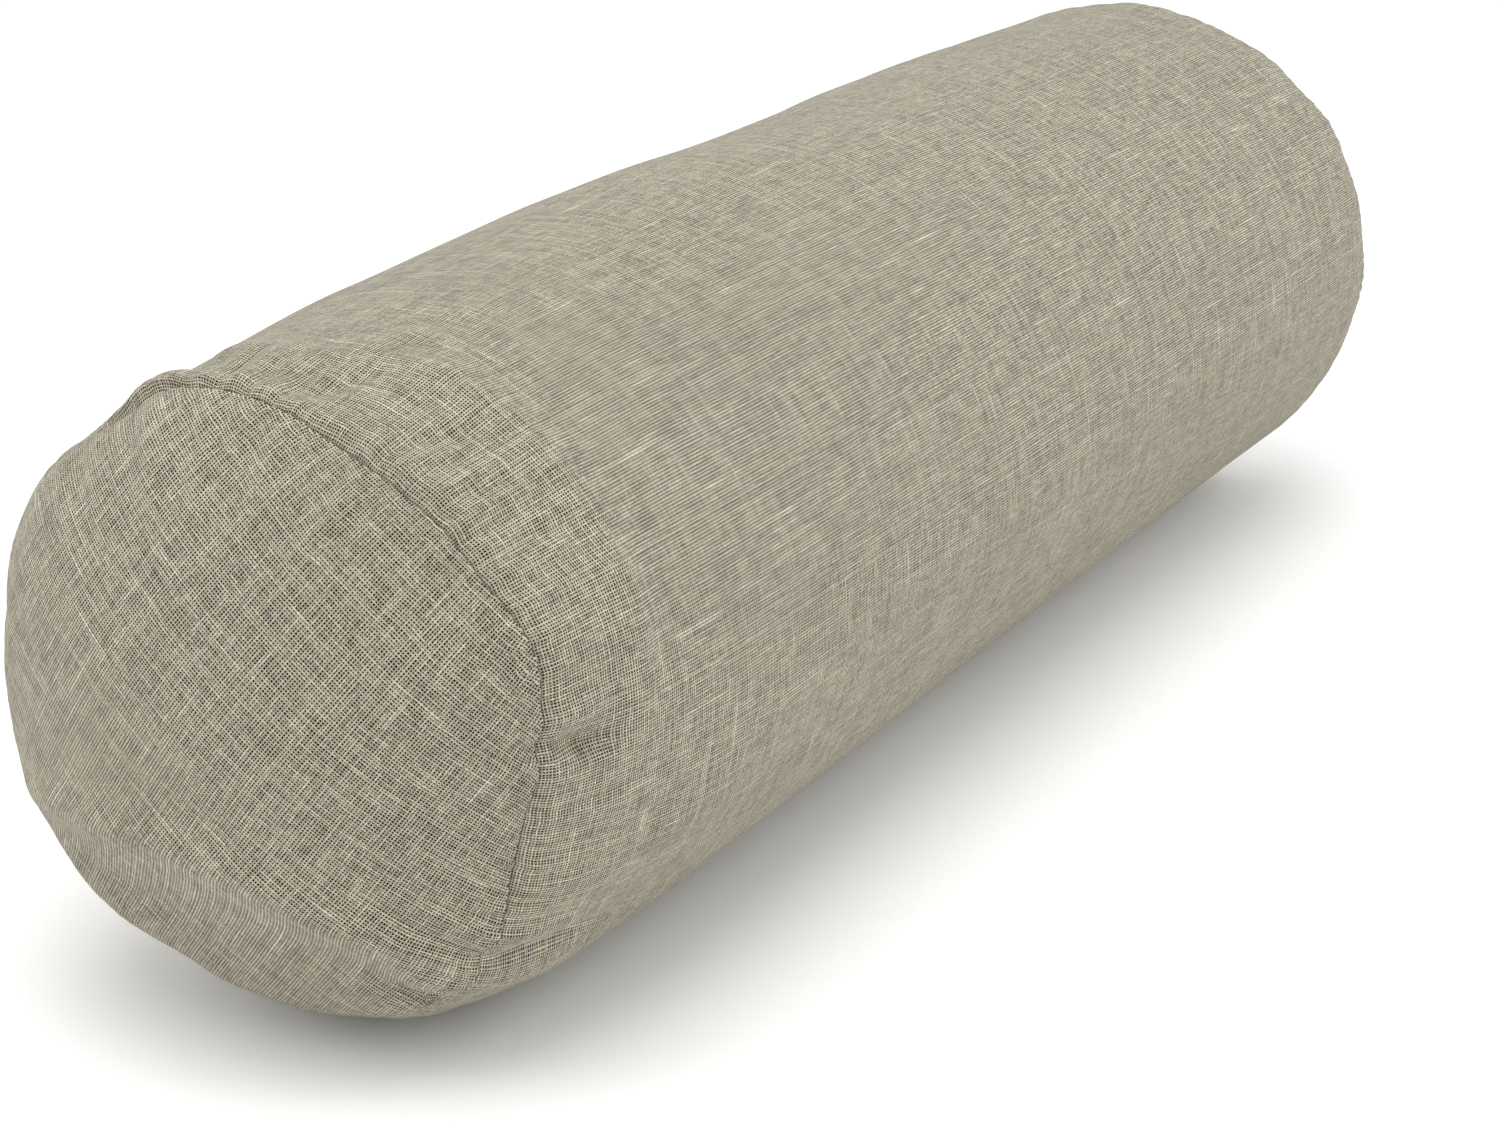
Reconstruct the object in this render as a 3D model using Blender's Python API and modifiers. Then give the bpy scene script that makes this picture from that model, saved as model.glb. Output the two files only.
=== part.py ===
"""A round bolster pillow: a zipped linen cover over a foam and wadding cushion in a cotton liner.

Units are metres. X runs along the bolster, Z is up, and the origin is at the bottom centre of its box.
The zipper runs along the back, which is +Y. Left is the -X end and right is the +X end.
"""

from dataclasses import dataclass
from math import cos, pi, radians, sin

import bmesh
import bpy
from mathutils import Matrix, Vector

MM = 0.001
BEVEL_ANGLE = 40

# Driving dimensions of the filled bolster
BODY_RADIUS = 100 * MM
SEAM_TO_SEAM = 600 * MM
FLOOR_SAG = 3 * MM
SIDES = 36
SIDE_ANGLE = 2 * pi / SIDES
EASE_STEPS = [radians(angle) for angle in (0, 30, 60, 90)]
CROWN_STEPS = (1, 0.85, 0.6, 0.3, 0)


@dataclass
class End:
    """The shape of one end: -1 is the left end and +1 the right one."""

    name: str
    side: int
    seam_radius: float
    crown: float
    ease: float


LEFT = End("left", -1, seam_radius=87 * MM, crown=33 * MM, ease=100 * MM)
RIGHT = End("right", 1, seam_radius=93 * MM, crown=17 * MM, ease=40 * MM)
ENDS = (LEFT, RIGHT)
TOTAL_LENGTH = SEAM_TO_SEAM + LEFT.crown + RIGHT.crown
AXIS_HEIGHT = BODY_RADIUS - FLOOR_SAG

# Layers, from the outside in. A depth is measured from the outside of the cover.
LINEN = 0.8 * MM
COTTON = 0.4 * MM
WADDING = 12 * MM
LAYER_GAP = 0.4 * MM
TOUCHING_GAP = 0.3 * MM
LINER_DEPTH = LINEN + LAYER_GAP
WADDING_DEPTH = LINER_DEPTH + COTTON + LAYER_GAP
CORE_DEPTH = WADDING_DEPTH + WADDING + LAYER_GAP

# The inner cushion is rounder than the cover at its seams. A corner is how far it stops short of them.
SEAM_ALLOWANCE = 6 * MM
LINER_CORNER = 6.5 * MM
WADDING_CORNER = LINER_CORNER + COTTON + LAYER_GAP
CORE_CORNER = WADDING_CORNER + WADDING + LAYER_GAP

# Seams and thread
SEAM_GAP = 0.8 * MM
THREAD = 0.4 * MM
TOPSTITCH = 0.5 * MM
THREAD_END_CLEARANCE = 2 * MM
LINER_SEAM_ANGLE = pi + SIDE_ANGLE / 2
WADDING_SEAM_ANGLE = -2.5 * SIDE_ANGLE

# The zipper lies along the middle of one flat side of the tube, above mid-height at the back.
ZIPPER_ANGLE = 2.5 * SIDE_ANGLE
ZIPPER_LENGTH = 400 * MM
SLOT_WIDTH = 10 * MM
SLOT_LENGTH = ZIPPER_LENGTH + 8 * MM
TAPE_THICKNESS = 0.5 * MM
TAPE_REACH = 12 * MM
TAPE_OVERRUN = 14 * MM
TAPE_DEPTH = LINEN + TOUCHING_GAP
COIL_THICKNESS = 1.5 * MM
CHAIN_GAP = 1.2 * MM
STOP_LENGTH = 2.4 * MM
STOP_WIDTH = 2 * MM
STOP_GAP = 0.4 * MM
STITCH_OFFSET = 6.2 * MM
TACK_LENGTH = 1.8 * MM
TACK_THICKNESS = 0.8 * MM
TACK_GAP = 0.5 * MM
SMALL_ROUNDING = 0.3 * MM

# The slider, and the tab that turns on its bail. The slider's mouth is at its right end.
SLIDER_LENGTH = 12 * MM
MOUTH_WIDTH = 8 * MM
HEEL_WIDTH = 6.4 * MM
FLARE_FROM = -1 * MM
FLARE_TO = 1.5 * MM
SLIDER_CORNER = 0.7 * MM
PLATE_THICKNESS = 0.7 * MM
FLANGE_WIDTH = 0.7 * MM
POST_WIDTH = 0.6 * MM
POST_LENGTH = 4 * MM
POST_X = 3 * MM
BAIL_WIRE = 1.2 * MM
BAIL_HALF_SPAN = 3.2 * MM
BAIL_STEPS = 8
BAIL_SQUARENESS = 0.7
TAB_LENGTH = 20 * MM
TAB_WIDTH = 5.5 * MM
TAB_THICKNESS = 1 * MM
TAB_ARM = 1.2 * MM
TAB_EYE_LENGTH = 4.1 * MM
TAB_CORNER = 1.2 * MM
TAB_CLEARANCE = 0.4 * MM

# Values that follow from those above
FLAT_DISTANCE = BODY_RADIUS * cos(SIDE_ANGLE / 2)
COIL_HEIGHT = -TAPE_DEPTH + TOUCHING_GAP + COIL_THICKNESS / 2
COIL_OFFSET = (CHAIN_GAP + COIL_THICKNESS) / 2
COIL_TOP = COIL_HEIGHT + COIL_THICKNESS / 2
TOP_PLATE = COIL_TOP + TOUCHING_GAP
BOTTOM_PLATE = -TAPE_DEPTH - TAPE_THICKNESS - TOUCHING_GAP - PLATE_THICKNESS
BEHIND_ZIPPER = LAYER_GAP - BOTTOM_PLATE
TAB_AXIS_HEIGHT = TOP_PLATE + PLATE_THICKNESS + TAB_CLEARANCE + TAB_THICKNESS / 2
BAIL_CROWN = TAB_AXIS_HEIGHT + TAB_THICKNESS + BAIL_WIRE / 2


def seam_x(end):
    """Where the seam of one end lies along the bolster."""
    return end.side * (TOTAL_LENGTH / 2 - end.crown)


STRAIGHT_FROM = seam_x(LEFT) + LEFT.ease
STRAIGHT_TO = seam_x(RIGHT) - RIGHT.ease
ZIPPER_CENTRE = (STRAIGHT_FROM + STRAIGHT_TO) / 2
ZIPPER_FROM = ZIPPER_CENTRE - ZIPPER_LENGTH / 2
ZIPPER_TO = ZIPPER_CENTRE + ZIPPER_LENGTH / 2
COIL_FROM = ZIPPER_FROM + STOP_LENGTH + STOP_GAP
COIL_TO = ZIPPER_TO - STOP_LENGTH - STOP_GAP
SLIDER_REST = COIL_TO - SLIDER_LENGTH / 2 - STOP_GAP

# The sign is along the zipper's own Y, which points down the back.
SIDES_OF_ZIPPER = (("upper", -1), ("lower", 1))


# Scene, materials and mesh helpers


def clear_scene():
    for obj in list(bpy.data.objects):
        bpy.data.objects.remove(obj, do_unlink=True)


def new_collection(name):
    collection = bpy.data.collections.new(name)
    bpy.context.scene.collection.children.link(collection)
    return collection


def new_material(name, colour, roughness, metallic=0.0):
    material = bpy.data.materials.new(name)
    material.use_nodes = True
    shader = material.node_tree.nodes["Principled BSDF"]
    shader.inputs["Base Color"].default_value = (*colour, 1.0)
    shader.inputs["Roughness"].default_value = roughness
    shader.inputs["Metallic"].default_value = metallic
    material.diffuse_color = (*colour, 1.0)
    return material


def add_object(name, data, material=None, parent=None, collection=None):
    obj = bpy.data.objects.new(name, data)
    (collection or parts).objects.link(obj)
    if material:
        data.materials.append(material)
    if parent:
        obj.parent = parent
    return obj


def evaluated_mesh(obj):
    """The object's mesh with its modifiers applied, in its own frame. The object is removed."""
    graph = bpy.context.evaluated_depsgraph_get()
    mesh = bpy.data.meshes.new_from_object(obj.evaluated_get(graph))
    bpy.data.objects.remove(obj, do_unlink=True)
    return mesh


def face_out(mesh):
    """Turn the faces of a closed mesh outwards and weld its doubled points."""
    work = bmesh.new()
    work.from_mesh(mesh)
    bmesh.ops.remove_doubles(work, verts=work.verts, dist=1e-6)
    bmesh.ops.recalc_face_normals(work, faces=work.faces)
    work.to_mesh(mesh)
    work.free()


def box_mesh(name, low, high):
    """A box between two corners."""
    work = bmesh.new()
    bmesh.ops.create_cube(work, size=1.0)
    size = Vector(high) - Vector(low)
    middle = (Vector(high) + Vector(low)) / 2
    bmesh.ops.scale(work, vec=size, verts=work.verts)
    bmesh.ops.translate(work, vec=middle, verts=work.verts)
    mesh = bpy.data.meshes.new(name)
    work.to_mesh(mesh)
    work.free()
    return mesh


def plate_mesh(name, outlines, low, high):
    """A flat plate between two heights, from an outline and any holes in it."""
    curve = bpy.data.curves.new(name, "CURVE")
    curve.dimensions = "2D"
    curve.fill_mode = "BOTH"
    curve.extrude = (high - low) / 2
    for outline in outlines:
        spline = curve.splines.new("POLY")
        spline.points.add(len(outline) - 1)
        for point, (x, y) in zip(spline.points, outline):
            point.co = (x, y, 0.0, 1.0)
        spline.use_cyclic_u = True
    mesh = evaluated_mesh(add_object(name, curve))
    mesh.transform(Matrix.Translation((0.0, 0.0, (low + high) / 2)))
    face_out(mesh)
    return mesh


def wire_curve(name, points, diameter, closed=False):
    """A round wire through these points."""
    curve = bpy.data.curves.new(name, "CURVE")
    curve.dimensions = "3D"
    curve.bevel_depth = diameter / 2
    curve.bevel_resolution = 1
    curve.use_fill_caps = not closed
    spline = curve.splines.new("POLY")
    spline.points.add(len(points) - 1)
    for point, place in zip(spline.points, points):
        point.co = (*place, 1.0)
    spline.use_cyclic_u = closed
    return curve


def boolean(obj, other, operation):
    modifier = obj.modifiers.new(operation.title(), "BOOLEAN")
    modifier.operation = operation
    modifier.solver = "EXACT"
    modifier.object = other


def add_cutter(name, mesh, parent=None):
    cutter = add_object(name, mesh, parent=parent, collection=cutters)
    cutter.hide_render = True
    cutter.display_type = "WIRE"
    return cutter


def add_bevel(obj, width, segments=2):
    bevel = obj.modifiers.new("Rounded edges", "BEVEL")
    bevel.width = width
    bevel.segments = segments
    bevel.limit_method = "ANGLE"
    bevel.angle_limit = radians(BEVEL_ANGLE)


# Outlines of the nested layers, as (x, radius) points


def ease_points(end, depth, corner):
    """Where the tube eases in towards a seam, from the straight part to the seam."""
    seam = Vector((seam_x(end) - end.side * corner, end.seam_radius - corner))
    length = end.ease - corner
    drop = BODY_RADIUS - depth - seam.y
    return [(seam.x - end.side * length * (1 - sin(t)), seam.y + drop * cos(t)) for t in EASE_STEPS]


def crown_points(end, depth, corner, gap=0.0):
    """The bulged end, from its seam to its middle. A gap moves its seam away from the tube's."""
    seam = Vector((seam_x(end) + end.side * (gap - corner), end.seam_radius - corner))
    bulge = end.crown + corner - depth - gap
    return [(seam.x + end.side * bulge * (1 - f * f), seam.y * f) for f in CROWN_STEPS]


def left_to_right(end, outline):
    """An outline that starts at a seam, put in the order that turns its faces outwards."""
    return outline[::end.side]


def tube_outline(depth, corner):
    """The tube from its left seam to its right seam."""
    return ease_points(LEFT, depth, corner)[::-1] + ease_points(RIGHT, depth, corner)


def seam_step(end, along, inward):
    """A step from the seam: along the outside towards the tube, and inward between the two panels."""
    diagonal = 2**-0.5
    return Vector((-end.side * (along + inward) * diagonal, (along - inward) * diagonal))


def panel_edge(end, along):
    """The seam allowance of one panel: its tip inside the cover, then its corner on the outside."""
    seam = Vector((seam_x(end), end.seam_radius))
    tip = seam + seam_step(end, along, SEAM_ALLOWANCE)
    corner = seam + seam_step(end, along, 0.0)
    return [tuple(tip), tuple(corner)]


# Turned shapes


def press_flat(mesh, depth, inner):
    """Flatten the underside on the floor. The inner cushion is also pressed flat behind the zipper."""
    outward = Vector((0.0, cos(ZIPPER_ANGLE), sin(ZIPPER_ANGLE)))
    limit = FLAT_DISTANCE - BEHIND_ZIPPER - (depth - LINER_DEPTH)
    for vertex in mesh.vertices:
        vertex.co.z = max(vertex.co.z, depth - AXIS_HEIGHT)
        beyond = vertex.co.dot(outward) - limit
        if inner and beyond > 0:
            vertex.co -= outward * beyond


def turn(name, outline):
    """The surface that an outline of (x, radius) points sweeps round the bolster's axis."""
    profile = bpy.data.meshes.new(name)
    edges = [(i, i + 1) for i in range(len(outline) - 1)]
    profile.from_pydata([(x, 0.0, radius) for x, radius in outline], edges, [])
    obj = add_object(name, profile)
    screw = obj.modifiers.new("Turn", "SCREW")
    screw.axis = "X"
    screw.steps = SIDES
    screw.render_steps = SIDES
    screw.use_normal_flip = True
    screw.use_merge_vertices = True
    screw.merge_threshold = 1e-5
    return evaluated_mesh(obj)


def add_turned(name, mesh, material):
    obj = add_object(name, mesh, material)
    obj.location.z = AXIS_HEIGHT
    return obj


def add_panel(name, outline, depth, thickness, material):
    """A cloth panel: the turned outside surface, thickened inwards."""
    mesh = turn(name, outline)
    press_flat(mesh, depth, inner=depth > 0)
    panel = add_turned(name, mesh, material)
    shell = panel.modifiers.new("Cloth thickness", "SOLIDIFY")
    shell.thickness = thickness
    shell.offset = -1.0
    shell.use_even_offset = True
    shell.use_quality_normals = True
    return panel


def turned_piece(name, outer, inner, depths, material):
    """A thick layer between an outer and an inner outline, each pressed flat by its own depth."""
    sheets = []
    for outline, depth in zip((outer, inner), depths):
        sheet = turn(name, outline)
        press_flat(sheet, depth, inner=True)
        sheets.append(sheet)
    work = bmesh.new()
    for sheet in sheets:
        work.from_mesh(sheet)
    for end in ENDS:
        rims = [edge for edge in work.edges if edge.is_boundary and edge.verts[0].co.x * end.side > 0]
        if rims:
            bmesh.ops.bridge_loops(work, edges=rims)
    mesh = bpy.data.meshes.new(name)
    work.to_mesh(mesh)
    work.free()
    face_out(mesh)
    return add_turned(name, mesh, material)


def add_seam_slit(panel, angle, depth):
    """The gap between the two edges of a panel that is rolled into a tube."""
    low = (-TOTAL_LENGTH, -SEAM_GAP / 2, -depth)
    high = (TOTAL_LENGTH, SEAM_GAP / 2, depth)
    cutter = add_cutter(panel.name + "_slit", box_mesh("seam_slit", low, high))
    place_on_side(cutter, angle, BODY_RADIUS - depth)
    boolean(panel, cutter, "DIFFERENCE")


def place_on_side(obj, angle, distance):
    """Put an object on the tube's side: its Z points out, and its X stays along the bolster."""
    obj.location = (0.0, distance * cos(angle), AXIS_HEIGHT + distance * sin(angle))
    obj.rotation_euler = (angle - pi / 2, 0.0, 0.0)


# Subparts


def build_core():
    outline = crown_points(LEFT, CORE_DEPTH, CORE_CORNER)[::-1]
    outline += tube_outline(CORE_DEPTH, CORE_CORNER)[1:-1]
    outline += crown_points(RIGHT, CORE_DEPTH, CORE_CORNER)
    mesh = turn("foam_core", outline)
    press_flat(mesh, CORE_DEPTH, inner=True)
    face_out(mesh)
    add_turned("foam_core", mesh, foam)


def build_wadding():
    depths = (WADDING_DEPTH, WADDING_DEPTH + WADDING)
    corners = (WADDING_CORNER, WADDING_CORNER + WADDING)
    outer, inner = [tube_outline(*layer) for layer in zip(depths, corners)]
    wrap = turned_piece("wadding_wrap", outer, inner, depths, wadding)
    add_seam_slit(wrap, WADDING_SEAM_ANGLE, 3 * WADDING)
    for end in ENDS:
        outer, inner = [crown_points(end, *layer, gap=LAYER_GAP) for layer in zip(depths, corners)]
        turned_piece("wadding_disc_" + end.name, outer, inner, depths, wadding)


def build_liner():
    body = add_panel("liner_body", tube_outline(LINER_DEPTH, LINER_CORNER), LINER_DEPTH, COTTON, cotton)
    add_seam_slit(body, LINER_SEAM_ANGLE, 3 * WADDING)
    for end in ENDS:
        crown = crown_points(end, LINER_DEPTH, LINER_CORNER, gap=SEAM_GAP + COTTON)
        add_panel("liner_end_" + end.name, left_to_right(end, crown), LINER_DEPTH, COTTON, cotton)
        ring_x = seam_x(end) + end.side * (SEAM_GAP / 2 - LINER_CORNER)
        add_thread_ring("liner_thread_" + end.name, ring_x, end.seam_radius - LINER_CORNER, cotton_thread)
    add_side_thread("liner_side_thread", LINER_SEAM_ANGLE, LINER_DEPTH, LINER_CORNER, cotton_thread)


def add_thread_ring(name, x, radius, material):
    points = []
    for step in range(SIDES):
        angle = step * SIDE_ANGLE
        points.append((x, radius * sin(angle), radius * cos(angle)))
    ring = add_object(name, wire_curve(name, points, THREAD, closed=True), material)
    ring.location.z = AXIS_HEIGHT


def side_path(depth, corner, from_x, to_x):
    """The middle of one flat side of the tube, between two places along it, as (x, distance) points."""
    outline = [(x, radius * cos(SIDE_ANGLE / 2)) for x, radius in tube_outline(depth, corner)]
    path = [(from_x, distance_at(outline, from_x))]
    path += [point for point in outline if from_x < point[0] < to_x]
    path += [(to_x, distance_at(outline, to_x))]
    return path


def distance_at(outline, x):
    for (x0, d0), (x1, d1) in zip(outline, outline[1:]):
        if x0 <= x <= x1:
            return d0 + (d1 - d0) * (x - x0) / (x1 - x0)
    raise ValueError(f"{x} is past the ends of the tube")


def add_side_thread(name, angle, depth, corner, material, from_x=None, to_x=None):
    """The thread of a lengthwise seam. It lies halfway through the cloth, in the gap between its edges."""
    seams = [seam_x(end) - end.side * (corner + THREAD_END_CLEARANCE) for end in ENDS]
    low = seams[0] if from_x is None else from_x
    high = seams[1] if to_x is None else to_x
    points = [(x, 0.0, distance - THREAD) for x, distance in side_path(depth, corner, low, high)]
    thread = add_object(name, wire_curve(name, points, THREAD), material)
    place_on_side(thread, angle, 0.0)


def build_cover():
    left_edge = panel_edge(LEFT, SEAM_GAP / 2)
    right_edge = panel_edge(RIGHT, SEAM_GAP / 2)
    outline = left_edge + tube_outline(0.0, 0.0)[1:-1] + right_edge[::-1]
    body = add_panel("cover_body", outline, 0.0, LINEN, linen)
    add_seam_slit(body, ZIPPER_ANGLE, 3 * WADDING)
    slot_from = ZIPPER_CENTRE - SLOT_LENGTH / 2
    slot_to = ZIPPER_CENTRE + SLOT_LENGTH / 2
    low = (slot_from, -SLOT_WIDTH / 2, -2 * LINEN)
    high = (slot_to, SLOT_WIDTH / 2, 2 * LINEN)
    slot = add_cutter("zipper_slot", box_mesh("zipper_slot", low, high))
    place_on_side(slot, ZIPPER_ANGLE, FLAT_DISTANCE)
    boolean(body, slot, "DIFFERENCE")
    for end in ENDS:
        outline = panel_edge(end, -SEAM_GAP / 2) + crown_points(end, 0.0, 0.0)[1:]
        add_panel("cover_end_" + end.name, left_to_right(end, outline), 0.0, LINEN, linen)
        ring = Vector((seam_x(end), end.seam_radius)) + seam_step(end, 0.0, THREAD)
        add_thread_ring("cover_thread_" + end.name, ring.x, ring.y, linen_thread)
    add_side_thread("side_thread_left", ZIPPER_ANGLE, 0.0, 0.0, linen_thread, to_x=slot_from - THREAD)
    add_side_thread("side_thread_right", ZIPPER_ANGLE, 0.0, 0.0, linen_thread, from_x=slot_to + THREAD)


def build_tapes(zipper):
    """The two woven tapes. Each is bent once, to follow the tube from its flat side onto the next one."""
    half_side = (FLAT_DISTANCE - TAPE_DEPTH) * sin(SIDE_ANGLE / 2) / cos(SIDE_ANGLE / 2)
    beyond = TAPE_REACH - half_side
    across = [
        (CHAIN_GAP / 2, -TAPE_DEPTH),
        (half_side, -TAPE_DEPTH),
        (half_side + beyond * cos(SIDE_ANGLE), -TAPE_DEPTH - beyond * sin(SIDE_ANGLE)),
    ]
    for name, sign in SIDES_OF_ZIPPER:
        points = []
        for x in (ZIPPER_FROM - TAPE_OVERRUN, ZIPPER_TO + TAPE_OVERRUN):
            points += [(x, sign * y, z) for y, z in across]
        faces = [(0, 3, 4, 1), (1, 4, 5, 2)]
        mesh = bpy.data.meshes.new("zipper_tape_" + name)
        mesh.from_pydata(points, [], [face[::-sign] for face in faces])
        tape = add_object("zipper_tape_" + name, mesh, tape_cloth, zipper)
        shell = tape.modifiers.new("Tape thickness", "SOLIDIFY")
        shell.thickness = TAPE_THICKNESS
        shell.offset = 1.0
        shell.use_even_offset = True


def build_chain(zipper):
    """The coils, the stops at their ends and the stitches that hold the tapes to the cover."""
    for name, sign in SIDES_OF_ZIPPER:
        middle = sign * COIL_OFFSET
        ends = [(x, middle, COIL_HEIGHT) for x in (COIL_FROM, COIL_TO)]
        add_object("zipper_coil_" + name, wire_curve("coil", ends, COIL_THICKNESS), nylon, zipper)
        inner, outer = sorted((sign * CHAIN_GAP / 2, sign * (CHAIN_GAP / 2 + STOP_WIDTH)))
        add_stop("zipper_top_stop_" + name, ZIPPER_TO - STOP_LENGTH, inner, outer, zipper)
        height = TOUCHING_GAP + TOPSTITCH / 2
        ends = [(x, sign * STITCH_OFFSET, height) for x in (ZIPPER_FROM, ZIPPER_TO)]
        stitches = wire_curve("tape_thread", ends, TOPSTITCH)
        add_object("tape_thread_" + name, stitches, linen_thread, zipper)
    reach = CHAIN_GAP / 2 + STOP_WIDTH
    add_stop("zipper_bottom_stop", ZIPPER_FROM, -reach, reach, zipper)
    for end in ENDS:
        middle = ZIPPER_CENTRE + end.side * (SLOT_LENGTH / 2 + TACK_GAP + TACK_LENGTH / 2)
        low = (middle - TACK_LENGTH / 2, -SLOT_WIDTH / 2, TOUCHING_GAP)
        high = (middle + TACK_LENGTH / 2, SLOT_WIDTH / 2, TOUCHING_GAP + TACK_THICKNESS)
        tack = add_object("bar_tack_" + end.name, box_mesh("bar_tack", low, high), linen_thread, zipper)
        add_bevel(tack, SMALL_ROUNDING)


def add_stop(name, x, inner, outer, zipper):
    """A crimped stop on the tape. It stands a little higher than the coil."""
    low = (x, inner, -TAPE_DEPTH + STOP_GAP)
    high = (x + STOP_LENGTH, outer, TOP_PLATE)
    stop = add_object(name, box_mesh(name, low, high), zipper_metal, zipper)
    add_bevel(stop, SMALL_ROUNDING)


def plate_outline(inset=0.0):
    """Half of the slider's plate from above. It is wider at the mouth, where the two coils part."""
    half_length = SLIDER_LENGTH / 2
    mouth = MOUTH_WIDTH / 2 - inset
    heel = HEEL_WIDTH / 2 - inset
    half = [(-half_length, heel - SLIDER_CORNER), (-half_length + SLIDER_CORNER, heel), (FLARE_FROM, heel)]
    half += [(FLARE_TO, mouth), (half_length - SLIDER_CORNER, mouth), (half_length, mouth - SLIDER_CORNER)]
    return half


def mirrored(half):
    return half + [(x, -y) for x, y in reversed(half)]


def build_slider(zipper):
    """The slider: two plates joined by a post between the coils, with a flange down each side and a bail."""
    travel = bpy.data.objects.new("slider_travel", None)
    parts.objects.link(travel)
    travel.parent = zipper
    travel.location.x = SLIDER_REST
    top = plate_mesh("zipper_slider", [mirrored(plate_outline())], TOP_PLATE, TOP_PLATE + PLATE_THICKNESS)
    slider = add_object("zipper_slider", top, zipper_metal, travel)
    bottom_high = BOTTOM_PLATE + PLATE_THICKNESS
    bottom = plate_mesh("bottom_plate", [mirrored(plate_outline())], BOTTOM_PLATE, bottom_high)
    overlap = PLATE_THICKNESS / 2
    post = [(POST_X - POST_LENGTH / 2, 0.0), (POST_X, POST_WIDTH / 2)]
    post += [(POST_X + POST_LENGTH / 2, 0.0), (POST_X, -POST_WIDTH / 2)]
    pieces = [bottom, plate_mesh("post", [post], bottom_high - overlap, TOP_PLATE + overlap)]
    for sign in (-1, 1):
        outer = [(x, sign * y) for x, y in plate_outline()[1:-1]]
        inner = [(x, sign * y) for x, y in plate_outline(FLANGE_WIDTH)[1:-1]]
        rim = outer + inner[::-1]
        pieces.append(plate_mesh("flange", [rim], -TAPE_DEPTH + STOP_GAP, TOP_PLATE + overlap))
    pieces.append(bail_mesh())
    for number, mesh in enumerate(pieces):
        boolean(slider, add_cutter(f"slider_piece_{number}", mesh, travel), "UNION")
    return travel


def bail_mesh():
    """The arch on the top plate that carries the tab."""
    foot = TOP_PLATE + PLATE_THICKNESS / 2
    rise = BAIL_CROWN - foot
    points = []
    for step in range(BAIL_STEPS + 1):
        turned = pi * step / BAIL_STEPS
        height = foot + rise * abs(sin(turned)) ** BAIL_SQUARENESS
        points.append((-BAIL_HALF_SPAN * cos(turned), 0.0, height))
    mesh = evaluated_mesh(add_object("bail", wire_curve("bail", points, BAIL_WIRE)))
    face_out(mesh)
    return mesh


def build_pull_tab(travel):
    """The tab lies flat towards the closed end. Its origin is on the bar that turns under the bail."""
    bar = TAB_THICKNESS / 2
    half = TAB_WIDTH / 2
    outer = [(bar, half), (-TAB_LENGTH + TAB_CORNER, half), (-TAB_LENGTH, half - TAB_CORNER)]
    eye = [(-bar, half - TAB_ARM), (-bar - TAB_EYE_LENGTH, half - TAB_ARM)]
    outlines = [mirrored(outer), mirrored(eye)]
    mesh = plate_mesh("zipper_pull_tab", outlines, -TAB_THICKNESS / 2, TAB_THICKNESS / 2)
    tab = add_object("zipper_pull_tab", mesh, zipper_metal, travel)
    tab.location.z = TAB_AXIS_HEIGHT


def build_zipper():
    zipper = bpy.data.objects.new("zipper_frame", None)
    parts.objects.link(zipper)
    place_on_side(zipper, ZIPPER_ANGLE, FLAT_DISTANCE)
    build_tapes(zipper)
    build_chain(zipper)
    build_pull_tab(build_slider(zipper))


clear_scene()
parts = new_collection("bolster_pillow")
cutters = new_collection("cutters")
linen = new_material("linen", (0.42, 0.38, 0.30), 0.95)
linen_thread = new_material("linen_thread", (0.38, 0.34, 0.27), 0.85)
cotton = new_material("cotton", (0.82, 0.79, 0.72), 0.9)
cotton_thread = new_material("cotton_thread", (0.80, 0.77, 0.70), 0.85)
wadding = new_material("wadding", (0.9, 0.9, 0.89), 1.0)
foam = new_material("foam", (0.86, 0.82, 0.66), 0.95)
tape_cloth = new_material("tape", (0.45, 0.41, 0.33), 0.8)
nylon = new_material("nylon", (0.47, 0.43, 0.35), 0.45)
zipper_metal = new_material("zipper_metal", (0.55, 0.53, 0.5), 0.35, metallic=1.0)

build_core()
build_wadding()
build_liner()
build_cover()
build_zipper()
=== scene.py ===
"""The looks of the bolster pillow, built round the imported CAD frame.

Lengths are in millimetres until a mesh is made, and each mesh is in metres. X runs along the bolster, and
an angle is measured round its axis, from the back (+Y) over the top. A depth is how far a layer lies inside
the cover's outer surface.
"""

from dataclasses import dataclass
from math import cos, pi, radians, sin, sqrt

import bmesh
import bpy
import numpy as np
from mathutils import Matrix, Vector


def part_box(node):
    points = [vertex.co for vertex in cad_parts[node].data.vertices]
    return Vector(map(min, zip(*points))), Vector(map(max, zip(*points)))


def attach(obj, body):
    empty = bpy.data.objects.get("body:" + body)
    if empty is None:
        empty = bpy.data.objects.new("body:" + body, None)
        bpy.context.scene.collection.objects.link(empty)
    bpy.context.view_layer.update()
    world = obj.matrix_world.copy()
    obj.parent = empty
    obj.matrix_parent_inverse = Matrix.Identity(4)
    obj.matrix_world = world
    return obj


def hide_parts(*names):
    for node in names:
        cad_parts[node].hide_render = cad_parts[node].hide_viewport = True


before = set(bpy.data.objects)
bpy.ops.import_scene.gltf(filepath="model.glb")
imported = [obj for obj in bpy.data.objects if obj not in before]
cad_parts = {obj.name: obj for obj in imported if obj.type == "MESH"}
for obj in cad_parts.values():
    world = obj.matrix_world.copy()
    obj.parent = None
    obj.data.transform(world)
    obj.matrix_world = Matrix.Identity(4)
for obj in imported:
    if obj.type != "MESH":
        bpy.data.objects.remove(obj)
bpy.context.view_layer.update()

MM = 0.001
FULL_TURN = 2 * pi


def box_mm(node):
    """The lowest and highest corners of a CAD node, in millimetres."""
    low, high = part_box(node)
    return np.array(low) / MM, np.array(high) / MM


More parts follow.
